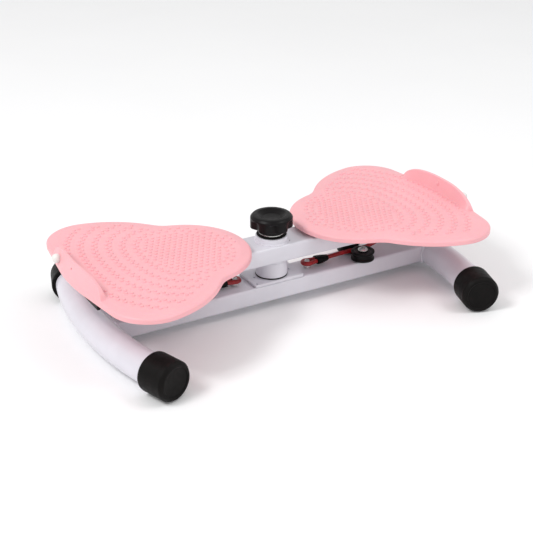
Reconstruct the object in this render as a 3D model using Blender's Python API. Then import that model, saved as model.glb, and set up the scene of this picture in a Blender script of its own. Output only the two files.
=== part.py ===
"""Swinging-beam stepper: a low steel base, a beam that yaws on a centre pivot against two
stretch ropes, and a foot plate on each end of the beam.  Metres, +Z up, floor at z = 0."""

import math

import bmesh
import bpy
import numpy as np
from mathutils import Matrix, Vector

# ---------------------------------------------------------------- driving dimensions
GAP = 0.0003              # assembly clearance between separate pieces
RUN = 0.00008             # running clearance on the pulley bolts
PIVOT_RUN = 0.00005       # running clearance on the pivot bolt, at the flats of its bores
SIDES = 16                # facets on most round pieces

# base frame
LEG_R = 0.021             # bent leg tube, 42 mm outside diameter
LEG_WALL = 0.0018
LEG_X = 0.2619            # leg centreline at mid length
LEG_ARC_R = 0.513         # plan radius of the bend
CAP_R = 0.0265            # rubber foot cap, also the height of the leg centreline
CAP_START = 0.2682        # bend angle where the cap begins
CAP_LEN = 0.0404
CAP_END_WALL = 0.0075
BEAM_W = 0.050            # rectangular tube, 50 x 25 x 1.8
BEAM_H = 0.025
BEAM_WALL = 0.0018
BEAM_CORNER = 0.0028
BASE_Z = CAP_R - BEAM_H / 2
BASE_TOP = BASE_Z + BEAM_H
NUT_T = 0.0048            # nuts sit inside the beam, under its top wall
NUT_Z1 = BASE_TOP - BEAM_WALL - GAP

# pivot
PLATE_X = 0.0385
PLATE_T = 0.004
PLATE_TOP = BASE_TOP + GAP + PLATE_T
THRUST_R = 0.0224
THRUST_T = 0.0014
HUB_R = 0.0221
HUB_WALL = 0.003
HUB_Z0 = PLATE_TOP + THRUST_T + 2 * GAP
HUB_Z1 = 0.1027
BOLT_R = 0.006            # M12 pivot bolt
BOLT_TOP = 0.1225
BUSH_LEN = 0.014
BORE_SIDES = 36
PIVOT_BORE = (BOLT_R + PIVOT_RUN) / math.cos(math.pi / BORE_SIDES)

# swing beam
SWING_Z = 0.069
SWING_TOP = SWING_Z + BEAM_H
SWING_HALF = 0.2650
PLUG_T = 0.0042
PLUG_LIP = 0.0032         # how far the plug flange stands proud of the tube
PLUG_CORNER = 0.0032      # corner radius of the flange

# clamp stack and knob
WASHER_Z = (0.1030, 0.1051, 0.1073)
WASHER_T = (0.0018, 0.0019, 0.0040)
WASHER_R = (0.0206, 0.0176, 0.0174)
KNOB_Z0 = 0.1116
KNOB_COLLAR_R = 0.0172
KNOB_SKIRT_Z = 0.1138
KNOB_TOP = 0.1328
KNOB_R = 0.0292
KNOB_LOBES = 6
KNOB_LOBE_DEPTH = 0.0046
KNOB_PHASE = math.radians(36.6)

# guide pulleys and ropes
PULLEY_X = 0.140
PULLEY_Y = 0.0183
PULLEY_R = 0.0167
PULLEY_WAIST_R = 0.0148
PULLEY_H = 0.0130
PULLEY_Z = BASE_TOP + 0.0016
PULLEY_BOLT_R = 0.003
ROPE_R = 0.003
ROPE_Z = PULLEY_Z + PULLEY_H / 2 + 0.0005
ANCHOR_X = 0.058
ANCHOR_R = 0.003
ROPE_BASE_Z = 0.0464
FAR_X = 0.232
FAR_Z = 0.0585
LOOP_R = ANCHOR_R + ROPE_R + 0.0004
STRAND_Y = 0.0034
SLEEVE_LEN = 0.0195
SLEEVE_NEAR = 0.0142      # from the anchor axis to the sleeve

# foot plates: plan corners (x, y, corner radius) of half the outline, mirrored in y
PEDAL_CORNERS = (
    (0.2974, 0.0000, 0.2989),
    (0.2750, 0.1614, 0.0551),
    (0.1725, 0.1504, 0.1411),
    (0.1210, 0.0911, 0.0329),
    (0.0443, 0.0763, 0.0915),
)
PLATE_BAR_X = (0.160, 0.240)
PLATE_BAR_Y = 0.085
PLATE_BAR_T = 0.0045
PEDAL_Z0 = SWING_TOP + PLATE_BAR_T + 2 * GAP
PEDAL_FIELD_Z = 0.1084
PEDAL_SKIN = 0.0034
PEDAL_WALL = 0.0042
FLAP_HALF = 0.080         # half length of the side stop
FLAP_TOP = 0.1300
FLAP_LEAN = 0.0062
FLAP_T = 0.0040
STOP_BUTTON_YZ = (0.0030, 0.1200)   # small domed button on the inner face of the side stop
STOP_INNER_X = 0.2842
STOP_OUTER_X = 0.2909
PEDAL_SCREW_X = 0.200
PEDAL_SCREW_Y = 0.060
PEDAL_SCREW_R = 0.0025

PAINT = ("white_paint", (0.83, 0.82, 0.85), 0.38, 0.0)
RUBBER = ("black_rubber", (0.020, 0.018, 0.020), 0.62, 0.0)
PLASTIC = ("black_plastic", (0.022, 0.019, 0.020), 0.42, 0.0)
NYLON = ("black_nylon", (0.030, 0.028, 0.030), 0.50, 0.0)
PINK = ("pink_plastic", (0.92, 0.50, 0.53), 0.50, 0.0)
WHITE = ("white_plastic", (0.85, 0.84, 0.82), 0.45, 0.0)
STEEL = ("zinc_steel", (0.66, 0.66, 0.66), 0.28, 1.0)
BRASS = ("brass", (0.72, 0.55, 0.24), 0.30, 1.0)
ROPE = ("red_latex", (0.36, 0.012, 0.016), 0.42, 0.0)


# ---------------------------------------------------------------- helpers
def clear_scene():
    for old in list(bpy.data.objects):
        bpy.data.objects.remove(old, do_unlink=True)


def material(spec):
    name, colour, rough, metal = spec
    mat = bpy.data.materials.get(name)
    if mat is None:
        mat = bpy.data.materials.new(name)
        mat.use_nodes = True
        shader = mat.node_tree.nodes["Principled BSDF"]
        shader.inputs["Base Color"].default_value = (*colour, 1.0)
        shader.inputs["Roughness"].default_value = rough
        shader.inputs["Metallic"].default_value = metal
        mat.diffuse_color = (*colour, 1.0)
    return mat


def finish(name, bm, spec, smooth=True, origin=None):
    """Turn a bmesh into a named object with outward faces and one material."""
    bmesh.ops.recalc_face_normals(bm, faces=bm.faces)
    for face in bm.faces:
        face.smooth = smooth
    mesh = bpy.data.meshes.new(name)
    if origin is not None:
        bmesh.ops.translate(bm, verts=bm.verts, vec=-Vector(origin))
    bm.to_mesh(mesh)
    bm.free()
    obj = bpy.data.objects.new(name, mesh)
    if origin is not None:
        obj.location = origin
    bpy.context.scene.collection.objects.link(obj)
    mesh.materials.append(material(spec))
    return obj


def ring_loops(bm, loops, close_ring=False):
    """Bridge equal loops of points into a skin; cap both ends unless the ring closes."""
    rows = [[bm.verts.new(p) for p in loop] for loop in loops]
    count = len(rows[0])
    pairs = list(zip(rows[:-1], rows[1:]))
    if close_ring:
        pairs.append((rows[-1], rows[0]))
    for low, high in pairs:
        for i in range(count):
            j = (i + 1) % count
            bm.faces.new((low[i], low[j], high[j], high[i]))
    if not close_ring:
        bm.faces.new(rows[0][::-1])
        bm.faces.new(rows[-1])


def circle(radius, segments, phase=0.0):
    step = 2 * math.pi / segments
    return [(radius * math.cos(phase + i * step), radius * math.sin(phase + i * step))
            for i in range(segments)]


def add_lathe(bm, profile, centre=(0, 0, 0), segments=20, phase=0.0, bored=True):
    """Revolve (radius, z) points about Z; a bored profile closes on itself."""
    loops = []
    for radius, z in profile:
        loops.append([(centre[0] + x, centre[1] + y, centre[2] + z)
                      for x, y in circle(radius, segments, phase)])
    ring_loops(bm, loops, close_ring=bored)


def add_prism(bm, outline, z0, z1):
    ring_loops(bm, [[(x, y, z) for x, y in outline] for z in (z0, z1)])


def hexagon(across_flats, centre=(0, 0)):
    radius = across_flats / math.sqrt(3)
    return [(centre[0] + x, centre[1] + y) for x, y in circle(radius, 6)]


def rounded_rect(width, height, radius, steps=2):
    points = []
    corners = ((1, 1, 0), (-1, 1, 90), (-1, -1, 180), (1, -1, 270))
    for sx, sy, start in corners:
        for k in range(steps + 1):
            angle = math.radians(start + 90 * k / steps)
            points.append((sx * (width / 2 - radius) + radius * math.cos(angle),
                           sy * (height / 2 - radius) + radius * math.sin(angle)))
    return points


def combine(target, other, operation):
    """Add a solid to another or cut it out, and keep only the result."""
    mod = target.modifiers.new("combine", 'BOOLEAN')
    mod.operation = operation
    mod.solver = 'EXACT'
    mod.object = other
    graph = bpy.context.evaluated_depsgraph_get()
    result = bpy.data.meshes.new_from_object(target.evaluated_get(graph))
    target.modifiers.clear()
    slot = target.data.materials[0]
    target.data = result
    result.name = target.name
    result.materials.clear()
    result.materials.append(slot)
    bpy.data.objects.remove(other, do_unlink=True)


def subtract(target, cutter):
    combine(target, cutter, 'DIFFERENCE')


def unite(target, addition):
    combine(target, addition, 'UNION')


def box_tube(name, half_length, z0, spec):
    """Open rectangular tube along X."""
    outer = rounded_rect(BEAM_W, BEAM_H, BEAM_CORNER)
    inner = rounded_rect(BEAM_W - 2 * BEAM_WALL, BEAM_H - 2 * BEAM_WALL,
                         BEAM_CORNER - BEAM_WALL)
    zc = z0 + BEAM_H / 2
    bm = bmesh.new()
    loops = []
    for x, section in ((-half_length, outer), (half_length, outer),
                       (half_length, inner), (-half_length, inner)):
        loops.append([(x, y, zc + z) for y, z in section])
    ring_loops(bm, loops, close_ring=True)
    return finish(name, bm, spec, smooth=False)


def drill(target, holes, z0, z1, segments=12):
    """Straight vertical holes, each (x, y, radius)."""
    bm = bmesh.new()
    for x, y, radius in holes:
        outline = [(x + px, y + py) for px, py in circle(radius, segments)]
        add_prism(bm, outline, z0, z1)
    subtract(target, finish("drill", bm, PAINT))


# ---------------------------------------------------------------- base frame
def leg_point(side, angle):
    """Leg centreline, bowed outward in plan."""
    return Vector((side * (LEG_X - LEG_ARC_R + LEG_ARC_R * math.cos(angle)),
                   LEG_ARC_R * math.sin(angle), CAP_R))


def leg_ring(side, angle, radius, segments):
    """Circle square to the leg centreline."""
    centre = leg_point(side, angle)
    out = Vector((side * math.cos(angle), math.sin(angle), 0))
    return [centre + out * u + Vector((0, 0, v)) for u, v in circle(radius, segments)]


def swept_tube(bm, side, end_angle, r_out, r_in, steps, segments):
    angles = np.linspace(-end_angle, end_angle, steps + 1)
    outer = [leg_ring(side, a, r_out, segments) for a in angles]
    if r_in is None:
        ring_loops(bm, outer)
        return
    inner = [leg_ring(side, a, r_in, segments) for a in angles[::-1]]
    ring_loops(bm, outer + inner, close_ring=True)


def build_leg(label, side):
    end = CAP_START + (CAP_LEN - CAP_END_WALL - GAP) / LEG_ARC_R
    bm = bmesh.new()
    swept_tube(bm, side, end, LEG_R, LEG_R - LEG_WALL, 14, SIDES)
    finish("leg_tube_" + label, bm, PAINT)


def build_cap(name, side, front):
    """Cup-shaped rubber cap that slips over the tube end, with a shallow dished face."""
    bore = LEG_R + GAP
    inner_end = CAP_LEN - CAP_END_WALL
    profile = ((CAP_LEN - 0.0010, 0.0150), (CAP_LEN - 0.0008, 0.0195), (CAP_LEN, 0.0215),
               (CAP_LEN - 0.0008, 0.0245), (CAP_LEN - 0.0032, CAP_R),
               (0.0018, CAP_R), (0.0, CAP_R - 0.0018), (0.0, bore), (inner_end, bore))
    loops = []
    for s, radius in profile:
        angle = (CAP_START + s / LEG_ARC_R) * (-1 if front else 1)
        loops.append(leg_ring(side, angle, radius, SIDES))
    bm = bmesh.new()
    ring_loops(bm, loops)
    finish(name, bm, RUBBER)


def build_base():
    beam = box_tube("base_beam", LEG_X, BASE_Z, PAINT)
    bm = bmesh.new()
    for side in (-1, 1):
        swept_tube(bm, side, 0.09, LEG_R + GAP, None, 4, 32)
    subtract(beam, finish("cope", bm, PAINT))
    drill(beam, [(0.0, 0.0, BOLT_R + GAP)], BASE_Z - 0.01, BASE_TOP + 0.01)
    holes = []
    for side in (-1, 1):
        holes.append((side * ANCHOR_X, 0.0, ANCHOR_R + GAP))
        for row in (-1, 1):
            holes.append((side * PULLEY_X, row * PULLEY_Y, PULLEY_BOLT_R + GAP))
    drill(beam, holes, BASE_TOP - 0.01, BASE_TOP + 0.01)
    trim_ends(beam)
    for label, side in (("left", -1), ("right", 1)):
        build_leg(label, side)
        build_cap("leg_cap_front_" + label, side, True)
        build_cap("leg_cap_rear_" + label, side, False)


def trim_ends(beam):
    """Drop the slivers the cope leaves beyond the leg tubes."""
    bm = bmesh.new()
    bm.from_mesh(beam.data)
    doomed = [v for v in bm.verts if abs(v.co.x) > LEG_X - 0.002]
    bmesh.ops.delete(bm, geom=doomed, context='VERTS')
    bm.to_mesh(beam.data)
    bm.free()


def build_plate():
    outline = rounded_rect(2 * PLATE_X, BEAM_W - 0.001, 0.003, 3)
    bm = bmesh.new()
    add_prism(bm, outline, BASE_TOP + GAP, PLATE_TOP)
    plate = finish("pivot_plate", bm, PAINT, smooth=False)
    holes = [(0.0, 0.0, BOLT_R + GAP)]
    for x, y in ((-0.0272, 0.0), (0.0272, 0.0), (-0.0345, -0.0205), (0.0345, 0.0205)):
        holes.append((x, y, 0.0016))
    drill(plate, holes, BASE_TOP - 0.01, PLATE_TOP + 0.01)


# ---------------------------------------------------------------- pivot and swing beam
def build_pivot():
    # hexagon-headed bolt from below, running up to the clamp knob
    bm = bmesh.new()
    add_prism(bm, hexagon(0.018), BASE_Z - 0.0075, BASE_Z - GAP)
    head = finish("pivot_bolt", bm, STEEL, smooth=False)
    bm = bmesh.new()
    bm.from_mesh(head.data)
    top = max(bm.faces, key=lambda f: f.calc_center_median().z)
    rim = [bm.verts.new((x, y, BASE_Z - GAP)) for x, y in circle(BOLT_R, 24)]
    upper = [bm.verts.new((x, y, BOLT_TOP - 0.001)) for x, y in circle(BOLT_R, 24)]
    tip = [bm.verts.new((x, y, BOLT_TOP)) for x, y in circle(BOLT_R - 0.001, 24)]
    corners = list(top.verts)
    bm.faces.remove(top)
    corners.sort(key=lambda v: math.atan2(v.co.y, v.co.x) % (2 * math.pi))
    for i in range(6):
        arc = [rim[(i * 4 + k) % 24] for k in range(5)]
        bm.faces.new([corners[i], corners[(i + 1) % 6]] + arc[::-1])
    for low, high in ((rim, upper), (upper, tip)):
        for i in range(24):
            j = (i + 1) % 24
            bm.faces.new((low[i], low[j], high[j], high[i]))
    bm.faces.new(tip)
    bmesh.ops.recalc_face_normals(bm, faces=bm.faces)
    bm.to_mesh(head.data)
    bm.free()

    # crush tube inside the base beam
    bm = bmesh.new()
    z0 = BASE_Z + BEAM_WALL + GAP
    z1 = BASE_TOP - BEAM_WALL - GAP
    add_lathe(bm, ((0.0095, z0), (0.0095, z1), (BOLT_R + GAP, z1), (BOLT_R + GAP, z0)))
    finish("base_spacer_tube", bm, STEEL)

    bm = bmesh.new()
    z0 = PLATE_TOP + GAP
    z1 = z0 + THRUST_T
    add_lathe(bm, ((THRUST_R, z0), (THRUST_R, z1), (BOLT_R + GAP, z1), (BOLT_R + GAP, z0)),
              segments=24)
    finish("thrust_washer", bm, NYLON)

    bm = bmesh.new()
    inner = HUB_R - HUB_WALL
    add_lathe(bm, ((HUB_R, HUB_Z0), (HUB_R, HUB_Z1), (inner, HUB_Z1), (inner, HUB_Z0)),
              segments=24)
    finish("hub_tube", bm, PAINT)

    for name, z0 in (("hub_bush_lower", HUB_Z0), ("hub_bush_upper", HUB_Z1 - BUSH_LEN)):
        bm = bmesh.new()
        outer = inner - GAP
        z1 = z0 + BUSH_LEN
        add_lathe(bm, ((outer, z0), (outer, z1), (PIVOT_BORE, z1), (PIVOT_BORE, z0)),
                  segments=BORE_SIDES)
        finish(name, bm, NYLON)


def build_swing():
    beam = box_tube("swing_beam", SWING_HALF, SWING_Z, PAINT)
    drill(beam, [(0.0, 0.0, HUB_R + GAP)], SWING_Z - 0.01, SWING_TOP + 0.01, 24)
    holes = [(side * FAR_X, 0.0, ANCHOR_R + GAP) for side in (-1, 1)]
    drill(beam, holes, SWING_Z - 0.01, SWING_Z + 0.01)
    for label, side in (("left", -1), ("right", 1)):
        build_plug("swing_end_plug_" + label, side)


def build_plug(name, side):
    """Push-in end plug: a flange on the tube end and a hollow spigot inside it."""
    zc = SWING_Z + BEAM_H / 2
    flange = rounded_rect(BEAM_W + 2 * PLUG_LIP, BEAM_H + 2 * PLUG_LIP, PLUG_CORNER)
    cut = BEAM_WALL + GAP
    spigot = rounded_rect(BEAM_W - 2 * cut, BEAM_H - 2 * cut, 0.001)
    hollow = rounded_rect(BEAM_W - 2 * cut - 0.004, BEAM_H - 2 * cut - 0.004, 0.001)
    x0 = SWING_HALF + GAP
    stations = ((x0 + PLUG_T, 0.9, flange), (x0 + PLUG_T - 0.0012, 1.0, flange),
                (x0, 1.0, flange), (x0, 1.0, spigot), (x0 - 0.014, 1.0, spigot),
                (x0 - 0.014, 1.0, hollow), (x0 + 0.0006, 1.0, hollow))
    loops = []
    for x, scale, section in stations:
        inset = (1 - scale) * 0.012
        loops.append([(side * x, y - math.copysign(inset, y), zc + z - math.copysign(inset, z))
                      for y, z in section])
    bm = bmesh.new()
    ring_loops(bm, loops)
    finish(name, bm, PLASTIC, smooth=False)


def build_stack():
    names = ("hub_rubber_washer", "clamp_washer", "knob_ring")
    specs = (RUBBER, STEEL, NYLON)
    for name, spec, z0, t, radius in zip(names, specs, WASHER_Z, WASHER_T, WASHER_R):
        bore = BOLT_R + GAP
        edge = min(0.0006, t / 3)
        profile = ((radius - edge, z0), (radius, z0 + edge), (radius, z0 + t - edge),
                   (radius - edge, z0 + t), (bore, z0 + t), (bore, z0))
        bm = bmesh.new()
        add_lathe(bm, profile)
        finish(name, bm, spec)


def lobed(radius, depth, segments):
    """Star outline: rounded lobes with narrower scoops between them."""
    points = []
    for i in range(segments):
        angle = 2 * math.pi * i / segments
        wave = (0.5 - 0.5 * math.cos(KNOB_LOBES * angle)) ** 1.6
        r = radius - depth * wave
        angle += KNOB_PHASE
        points.append((r * math.cos(angle), r * math.sin(angle)))
    return points


def build_knob():
    segments = 36
    insert_r = 0.0105
    sections = (
        (KNOB_COLLAR_R - 0.0006, 0.0, KNOB_Z0),
        (KNOB_COLLAR_R, 0.0, KNOB_Z0 + 0.0006),
        (KNOB_COLLAR_R, 0.0, KNOB_SKIRT_Z + 0.0020),
        (KNOB_R - 0.0030, KNOB_LOBE_DEPTH, KNOB_SKIRT_Z + 0.0020),
        (KNOB_R - 0.0026, KNOB_LOBE_DEPTH, KNOB_SKIRT_Z),
        (KNOB_R, KNOB_LOBE_DEPTH, KNOB_SKIRT_Z),
        (KNOB_R, KNOB_LOBE_DEPTH, KNOB_TOP - 0.0085),
        (KNOB_R, KNOB_LOBE_DEPTH * 0.25, KNOB_TOP - 0.0060),
        (KNOB_R - 0.0014, 0.0, KNOB_TOP - 0.0030),
        (KNOB_R - 0.0044, 0.0, KNOB_TOP - 0.0010),
        (KNOB_R - 0.0078, 0.0, KNOB_TOP),
        (KNOB_R - 0.0100, 0.0, KNOB_TOP - 0.0006),
        (KNOB_R - 0.0170, 0.0, KNOB_TOP - 0.0046),
    )
    bm = bmesh.new()
    loops = []
    for radius, depth, z in sections:
        loops.append([(x, y, z) for x, y in lobed(radius, depth, segments)])
    ring_loops(bm, loops)
    knob = finish("clamp_knob", bm, PLASTIC)
    bm = bmesh.new()
    add_prism(bm, hexagon(2 * insert_r * math.cos(math.pi / 6) + 2 * GAP),
              KNOB_Z0 - 0.001, KNOB_Z0 + 0.0092)
    subtract(knob, finish("pocket", bm, PLASTIC))
    drill(knob, [(0.0, 0.0, BOLT_R + 0.0005)], KNOB_Z0 - 0.001, BOLT_TOP + 0.0008, 24)

    bm = bmesh.new()
    outline = hexagon(2 * insert_r * math.cos(math.pi / 6))
    add_prism(bm, outline, KNOB_Z0 + 0.0003, KNOB_Z0 + 0.0088)
    insert = finish("knob_insert", bm, BRASS, smooth=False)
    drill(insert, [(0.0, 0.0, PIVOT_BORE)], KNOB_Z0 - 0.001, KNOB_Z0 + 0.01, BORE_SIDES)


# ---------------------------------------------------------------- pulleys and ropes
def build_pulleys():
    """Two spool-shaped rollers each side, on through bolts; the rope runs between them."""
    h = PULLEY_H
    bore = PULLEY_BOLT_R + RUN
    head = PULLEY_Z + h + GAP
    for side_name, side in (("left", -1), ("right", 1)):
        for row_name, row in (("front", -1), ("rear", 1)):
            x = side * PULLEY_X
            y = row * PULLEY_Y
            label = "%s_%s" % (row_name, side_name)
            profile = ((0.0062, -0.0013), (0.0062, 0.0), (PULLEY_R - 0.001, 0.0),
                       (PULLEY_R, 0.0007), (PULLEY_R, 0.0021),
                       (PULLEY_WAIST_R, h / 2 - 0.0020), (PULLEY_WAIST_R, h / 2 + 0.0020),
                       (PULLEY_R, h - 0.0021), (PULLEY_R, h - 0.0007),
                       (PULLEY_R - 0.001, h),
                       (bore, h), (bore, -0.0013))
            bm = bmesh.new()
            add_lathe(bm, profile, (x, y, PULLEY_Z), SIDES)
            finish("guide_pulley_" + label, bm, PLASTIC, origin=(x, y, PULLEY_Z))
            shank = ((0.0056, head + 0.0038), (0.0072, head + 0.0022), (0.0072, head),
                     (PULLEY_BOLT_R, head), (PULLEY_BOLT_R, NUT_Z1 - NUT_T - 0.0012))
            bm = bmesh.new()
            add_lathe(bm, shank, (x, y, 0), SIDES, bored=False)
            finish("pulley_bolt_" + label, bm, STEEL)
            bm = bmesh.new()
            add_nut(bm, x, y, PULLEY_BOLT_R, 0.0088, NUT_Z1 - NUT_T, NUT_Z1)
            finish("pulley_nut_" + label, bm, STEEL, smooth=False)


def add_nut(bm, x, y, bolt_r, across, z0, z1):
    """Hexagon nut with a round bore."""
    outer = hexagon(across)
    bore = circle(bolt_r + GAP, 12)
    rows = []
    for z, ring in ((z0, outer), (z1, outer), (z1, bore), (z0, bore)):
        rows.append([bm.verts.new((x + px, y + py, z)) for px, py in ring])
    for i in range(6):
        j = (i + 1) % 6
        bm.faces.new((rows[0][i], rows[0][j], rows[1][j], rows[1][i]))
        for hexa, hole in ((rows[1], rows[2]), (rows[0], rows[3])):
            arc = [hole[(2 * i + k) % 12] for k in range(3)]
            bm.faces.new([hexa[i], hexa[j]] + arc[::-1])
    for i in range(12):
        j = (i + 1) % 12
        bm.faces.new((rows[2][i], rows[2][j], rows[3][j], rows[3][i]))


def rope_path(side):
    """Short tail, loop round the base anchor, run between the pulleys, loop at the beam."""
    near = ANCHOR_X + SLEEVE_NEAR
    far = FAR_X - SLEEVE_NEAR
    tail = 0.40 * SLEEVE_LEN
    turn = math.radians(236)
    points = [(near + tail * (1 - k / 2), -STRAND_Y, ROPE_BASE_Z) for k in range(3)]
    for k in range(10):
        a = math.radians(-62) - k * turn / 9
        points.append((ANCHOR_X + LOOP_R * math.cos(a), LOOP_R * math.sin(a), ROPE_BASE_Z))
    points.append((near, STRAND_Y, ROPE_BASE_Z))
    points.append((near + 0.45 * SLEEVE_LEN, STRAND_Y, ROPE_BASE_Z))
    points.append((near + SLEEVE_LEN, 0.0003, ROPE_BASE_Z))
    points.append((near + SLEEVE_LEN + 0.012, 0.0, ROPE_BASE_Z + 0.0006))
    points.append((PULLEY_X - 0.012, 0.0, ROPE_Z))
    points.append((PULLEY_X + 0.008, 0.0, ROPE_Z))
    points.append((PULLEY_X + 0.022, 0.0, ROPE_Z + 0.0012))
    points.append((far - SLEEVE_LEN - 0.012, 0.0, FAR_Z - 0.0022))
    points.append((far - SLEEVE_LEN, 0.0003, FAR_Z))
    points.append((far - 0.45 * SLEEVE_LEN, STRAND_Y, FAR_Z))
    points.append((far, STRAND_Y, FAR_Z))
    for k in range(10):
        a = math.radians(180 - 62) - k * turn / 9
        points.append((FAR_X + LOOP_R * math.cos(a), LOOP_R * math.sin(a), FAR_Z))
    points += [(far - tail * k / 2, -STRAND_Y, FAR_Z) for k in range(3)]
    return [(side * x, side * y, z) for x, y, z in points]


def build_rope(label, side):
    curve = bpy.data.curves.new("resistance_rope_" + label, 'CURVE')
    curve.dimensions = '3D'
    spline = curve.splines.new('POLY')
    path = rope_path(side)
    spline.points.add(len(path) - 1)
    for point, co in zip(spline.points, path):
        point.co = (*co, 1.0)
    curve.bevel_depth = ROPE_R
    curve.bevel_resolution = 2
    curve.use_fill_caps = True
    obj = bpy.data.objects.new("resistance_rope_" + label, curve)
    bpy.context.scene.collection.objects.link(obj)
    curve.materials.append(material(ROPE))

    build_sleeve("rope_sleeve_base_" + label, side, ANCHOR_X + SLEEVE_NEAR, 1, ROPE_BASE_Z)
    build_sleeve("rope_sleeve_beam_" + label, side, FAR_X - SLEEVE_NEAR, -1, FAR_Z)


def build_sleeve(name, side, near, run, z):
    """Tapered boot: oval over the two strands, closing down onto the single rope."""
    wide = STRAND_Y + ROPE_R + GAP
    slim = ROPE_R + GAP + 0.0004
    tall = ROPE_R + GAP
    stations = ((0.0, wide, 0.0020), (0.45, wide, 0.0016), (1.0, slim, 0.0007))
    outer = []
    inner = []
    for t, half, wall in stations:
        x = near + run * t * SLEEVE_LEN
        skin = rounded_rect(2 * (half + wall), 2 * (tall + wall), tall * 0.9 + wall, 3)
        hole = rounded_rect(2 * half, 2 * tall, tall * 0.9, 3)
        outer.append([(side * x, y, z + v) for y, v in skin])
        inner.append([(side * x, y, z + v) for y, v in hole])
    bm = bmesh.new()
    ring_loops(bm, outer + inner[::-1], close_ring=True)
    finish(name, bm, PLASTIC)


def build_anchors():
    """Shoulder screws that hold the rope ends to the base and under the swing beam."""
    low = ROPE_BASE_Z - ROPE_R - 0.0004
    high = ROPE_BASE_Z + 0.0018
    beam_low = FAR_Z - 0.0018
    beam_high = FAR_Z + ROPE_R + 0.0004
    for label, side in (("left", -1), ("right", 1)):
        profile = ((0.0028, high + 0.0024), (0.0038, high + 0.0016), (0.0038, high),
                   (ANCHOR_R, high), (ANCHOR_R, low), (0.0060, low),
                   (0.0060, BASE_TOP + GAP), (ANCHOR_R, BASE_TOP + GAP),
                   (ANCHOR_R, NUT_Z1 - NUT_T - 0.0012))
        bm = bmesh.new()
        add_lathe(bm, profile, (side * ANCHOR_X, 0, 0), 12, bored=False)
        finish("rope_anchor_base_" + label, bm, STEEL)
        bm = bmesh.new()
        add_nut(bm, side * ANCHOR_X, 0.0, ANCHOR_R, 0.010, NUT_Z1 - NUT_T, NUT_Z1)
        finish("rope_anchor_nut_" + label, bm, STEEL, smooth=False)
        profile = ((ANCHOR_R, SWING_Z + 0.0085), (ANCHOR_R, SWING_Z - GAP),
                   (0.0060, SWING_Z - GAP), (0.0060, beam_high), (ANCHOR_R, beam_high),
                   (ANCHOR_R, beam_low), (0.0038, beam_low), (0.0038, beam_low - 0.0016),
                   (0.0028, beam_low - 0.0024))
        bm = bmesh.new()
        add_lathe(bm, profile, (side * FAR_X, 0, 0), 12, bored=False)
        finish("rope_anchor_beam_" + label, bm, STEEL)


# ---------------------------------------------------------------- foot plates
def pedal_outline(count):
    """Closed plan outline: tangent arcs at the corners, smoothed where two arcs meet."""
    half = list(PEDAL_CORNERS)
    corners = half + [(x, -y, r) for x, y, r in half[:0:-1]]
    n = len(corners)
    spots = [Vector((x, y)) for x, y, _ in corners]
    toward = [(spots[(i + 1) % n] - spots[i]) for i in range(n)]
    arcs = []
    for i in range(n):
        a = -toward[i - 1].normalized()
        b = toward[i].normalized()
        opening = math.acos(max(-1.0, min(1.0, a.dot(b))))
        arcs.append((a, b, opening, corners[i][2] / math.tan(opening / 2)))
    dense = []
    for i in range(n):
        a, b, opening, reach = arcs[i]
        here, radius = spots[i], corners[i][2]
        # neighbouring arcs that would overlap on their shared tangent stop half way
        back = reach - max(0.0, reach + arcs[i - 1][3] - toward[i - 1].length) / 2
        ahead = reach - max(0.0, reach + arcs[(i + 1) % n][3] - toward[i].length) / 2
        centre = here + (a + b).normalized() * (radius / math.sin(opening / 2))
        start = here + a * reach - centre
        end = here + b * reach - centre
        a0 = math.atan2(start.y, start.x)
        turn = (math.atan2(end.y, end.x) - a0 + math.pi) % (2 * math.pi) - math.pi
        for k in range(49):
            angle = a0 + turn * k / 48
            p = centre + Vector((math.cos(angle), math.sin(angle))) * radius
            if (p - here).dot(a) <= back + 1e-6 and (p - here).dot(b) <= ahead + 1e-6:
                dense.append(p)
    dense.append(dense[0].copy())
    steps = [0.0]
    for p, q in zip(dense[:-1], dense[1:]):
        steps.append(steps[-1] + (q - p).length)
    where = np.linspace(0, steps[-1], 8 * count, endpoint=False)
    loop = np.stack([np.interp(where, steps, [p.x for p in dense]),
                     np.interp(where, steps, [p.y for p in dense])], 1)
    for _ in range(12):
        loop = (np.roll(loop, 1, 0) + 2 * loop + np.roll(loop, -1, 0)) / 4
    return loop[::8]


def inward(points):
    """Unit inward normals of a counter-clockwise closed outline."""
    tangent = np.roll(points, -1, 0) - np.roll(points, 1, 0)
    tangent /= np.linalg.norm(tangent, axis=1)[:, None]
    return np.stack([-tangent[:, 1], tangent[:, 0]], 1)


def flap_weight(point):
    """0 on the plain rim, 1 at the middle of the side stop, steep at its two ends."""
    if point[0] < 0.24 or abs(point[1]) >= FLAP_HALF:
        return 0.0
    return (1.0 - (abs(point[1]) / FLAP_HALF) ** 3.5) ** 0.58


# (inset, z) of the rim section and of the side stop's section, matched point for point
RIM_SECTION = ((0.0, PEDAL_Z0), (0.0, 0.1036), (0.0009, 0.1054), (0.0030, 0.1067),
               (0.0065, 0.1072), (0.0105, 0.1078), (0.0140, 0.1082), (0.0165, PEDAL_FIELD_Z))
FLAP_SECTION = ((0.0, PEDAL_Z0), (0.0, 0.1036), (0.0016, 0.1112),
                (FLAP_LEAN - 0.0006, FLAP_TOP - 0.0014), (FLAP_LEAN + 0.0014, FLAP_TOP),
                (FLAP_LEAN + FLAP_T - 0.0006, FLAP_TOP - 0.0016),
                (0.0108, 0.1130), (0.0122, PEDAL_FIELD_Z))


def half_width(x, outline):
    """Half width in Y of the plate at one X."""
    best = 0.0
    for p, q in zip(outline, np.roll(outline, -1, 0)):
        if (p[0] - x) * (q[0] - x) <= 0 and p[0] != q[0]:
            best = max(best, abs(p[1] + (q[1] - p[1]) * (x - p[0]) / (q[0] - p[0])))
    return best


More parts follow.
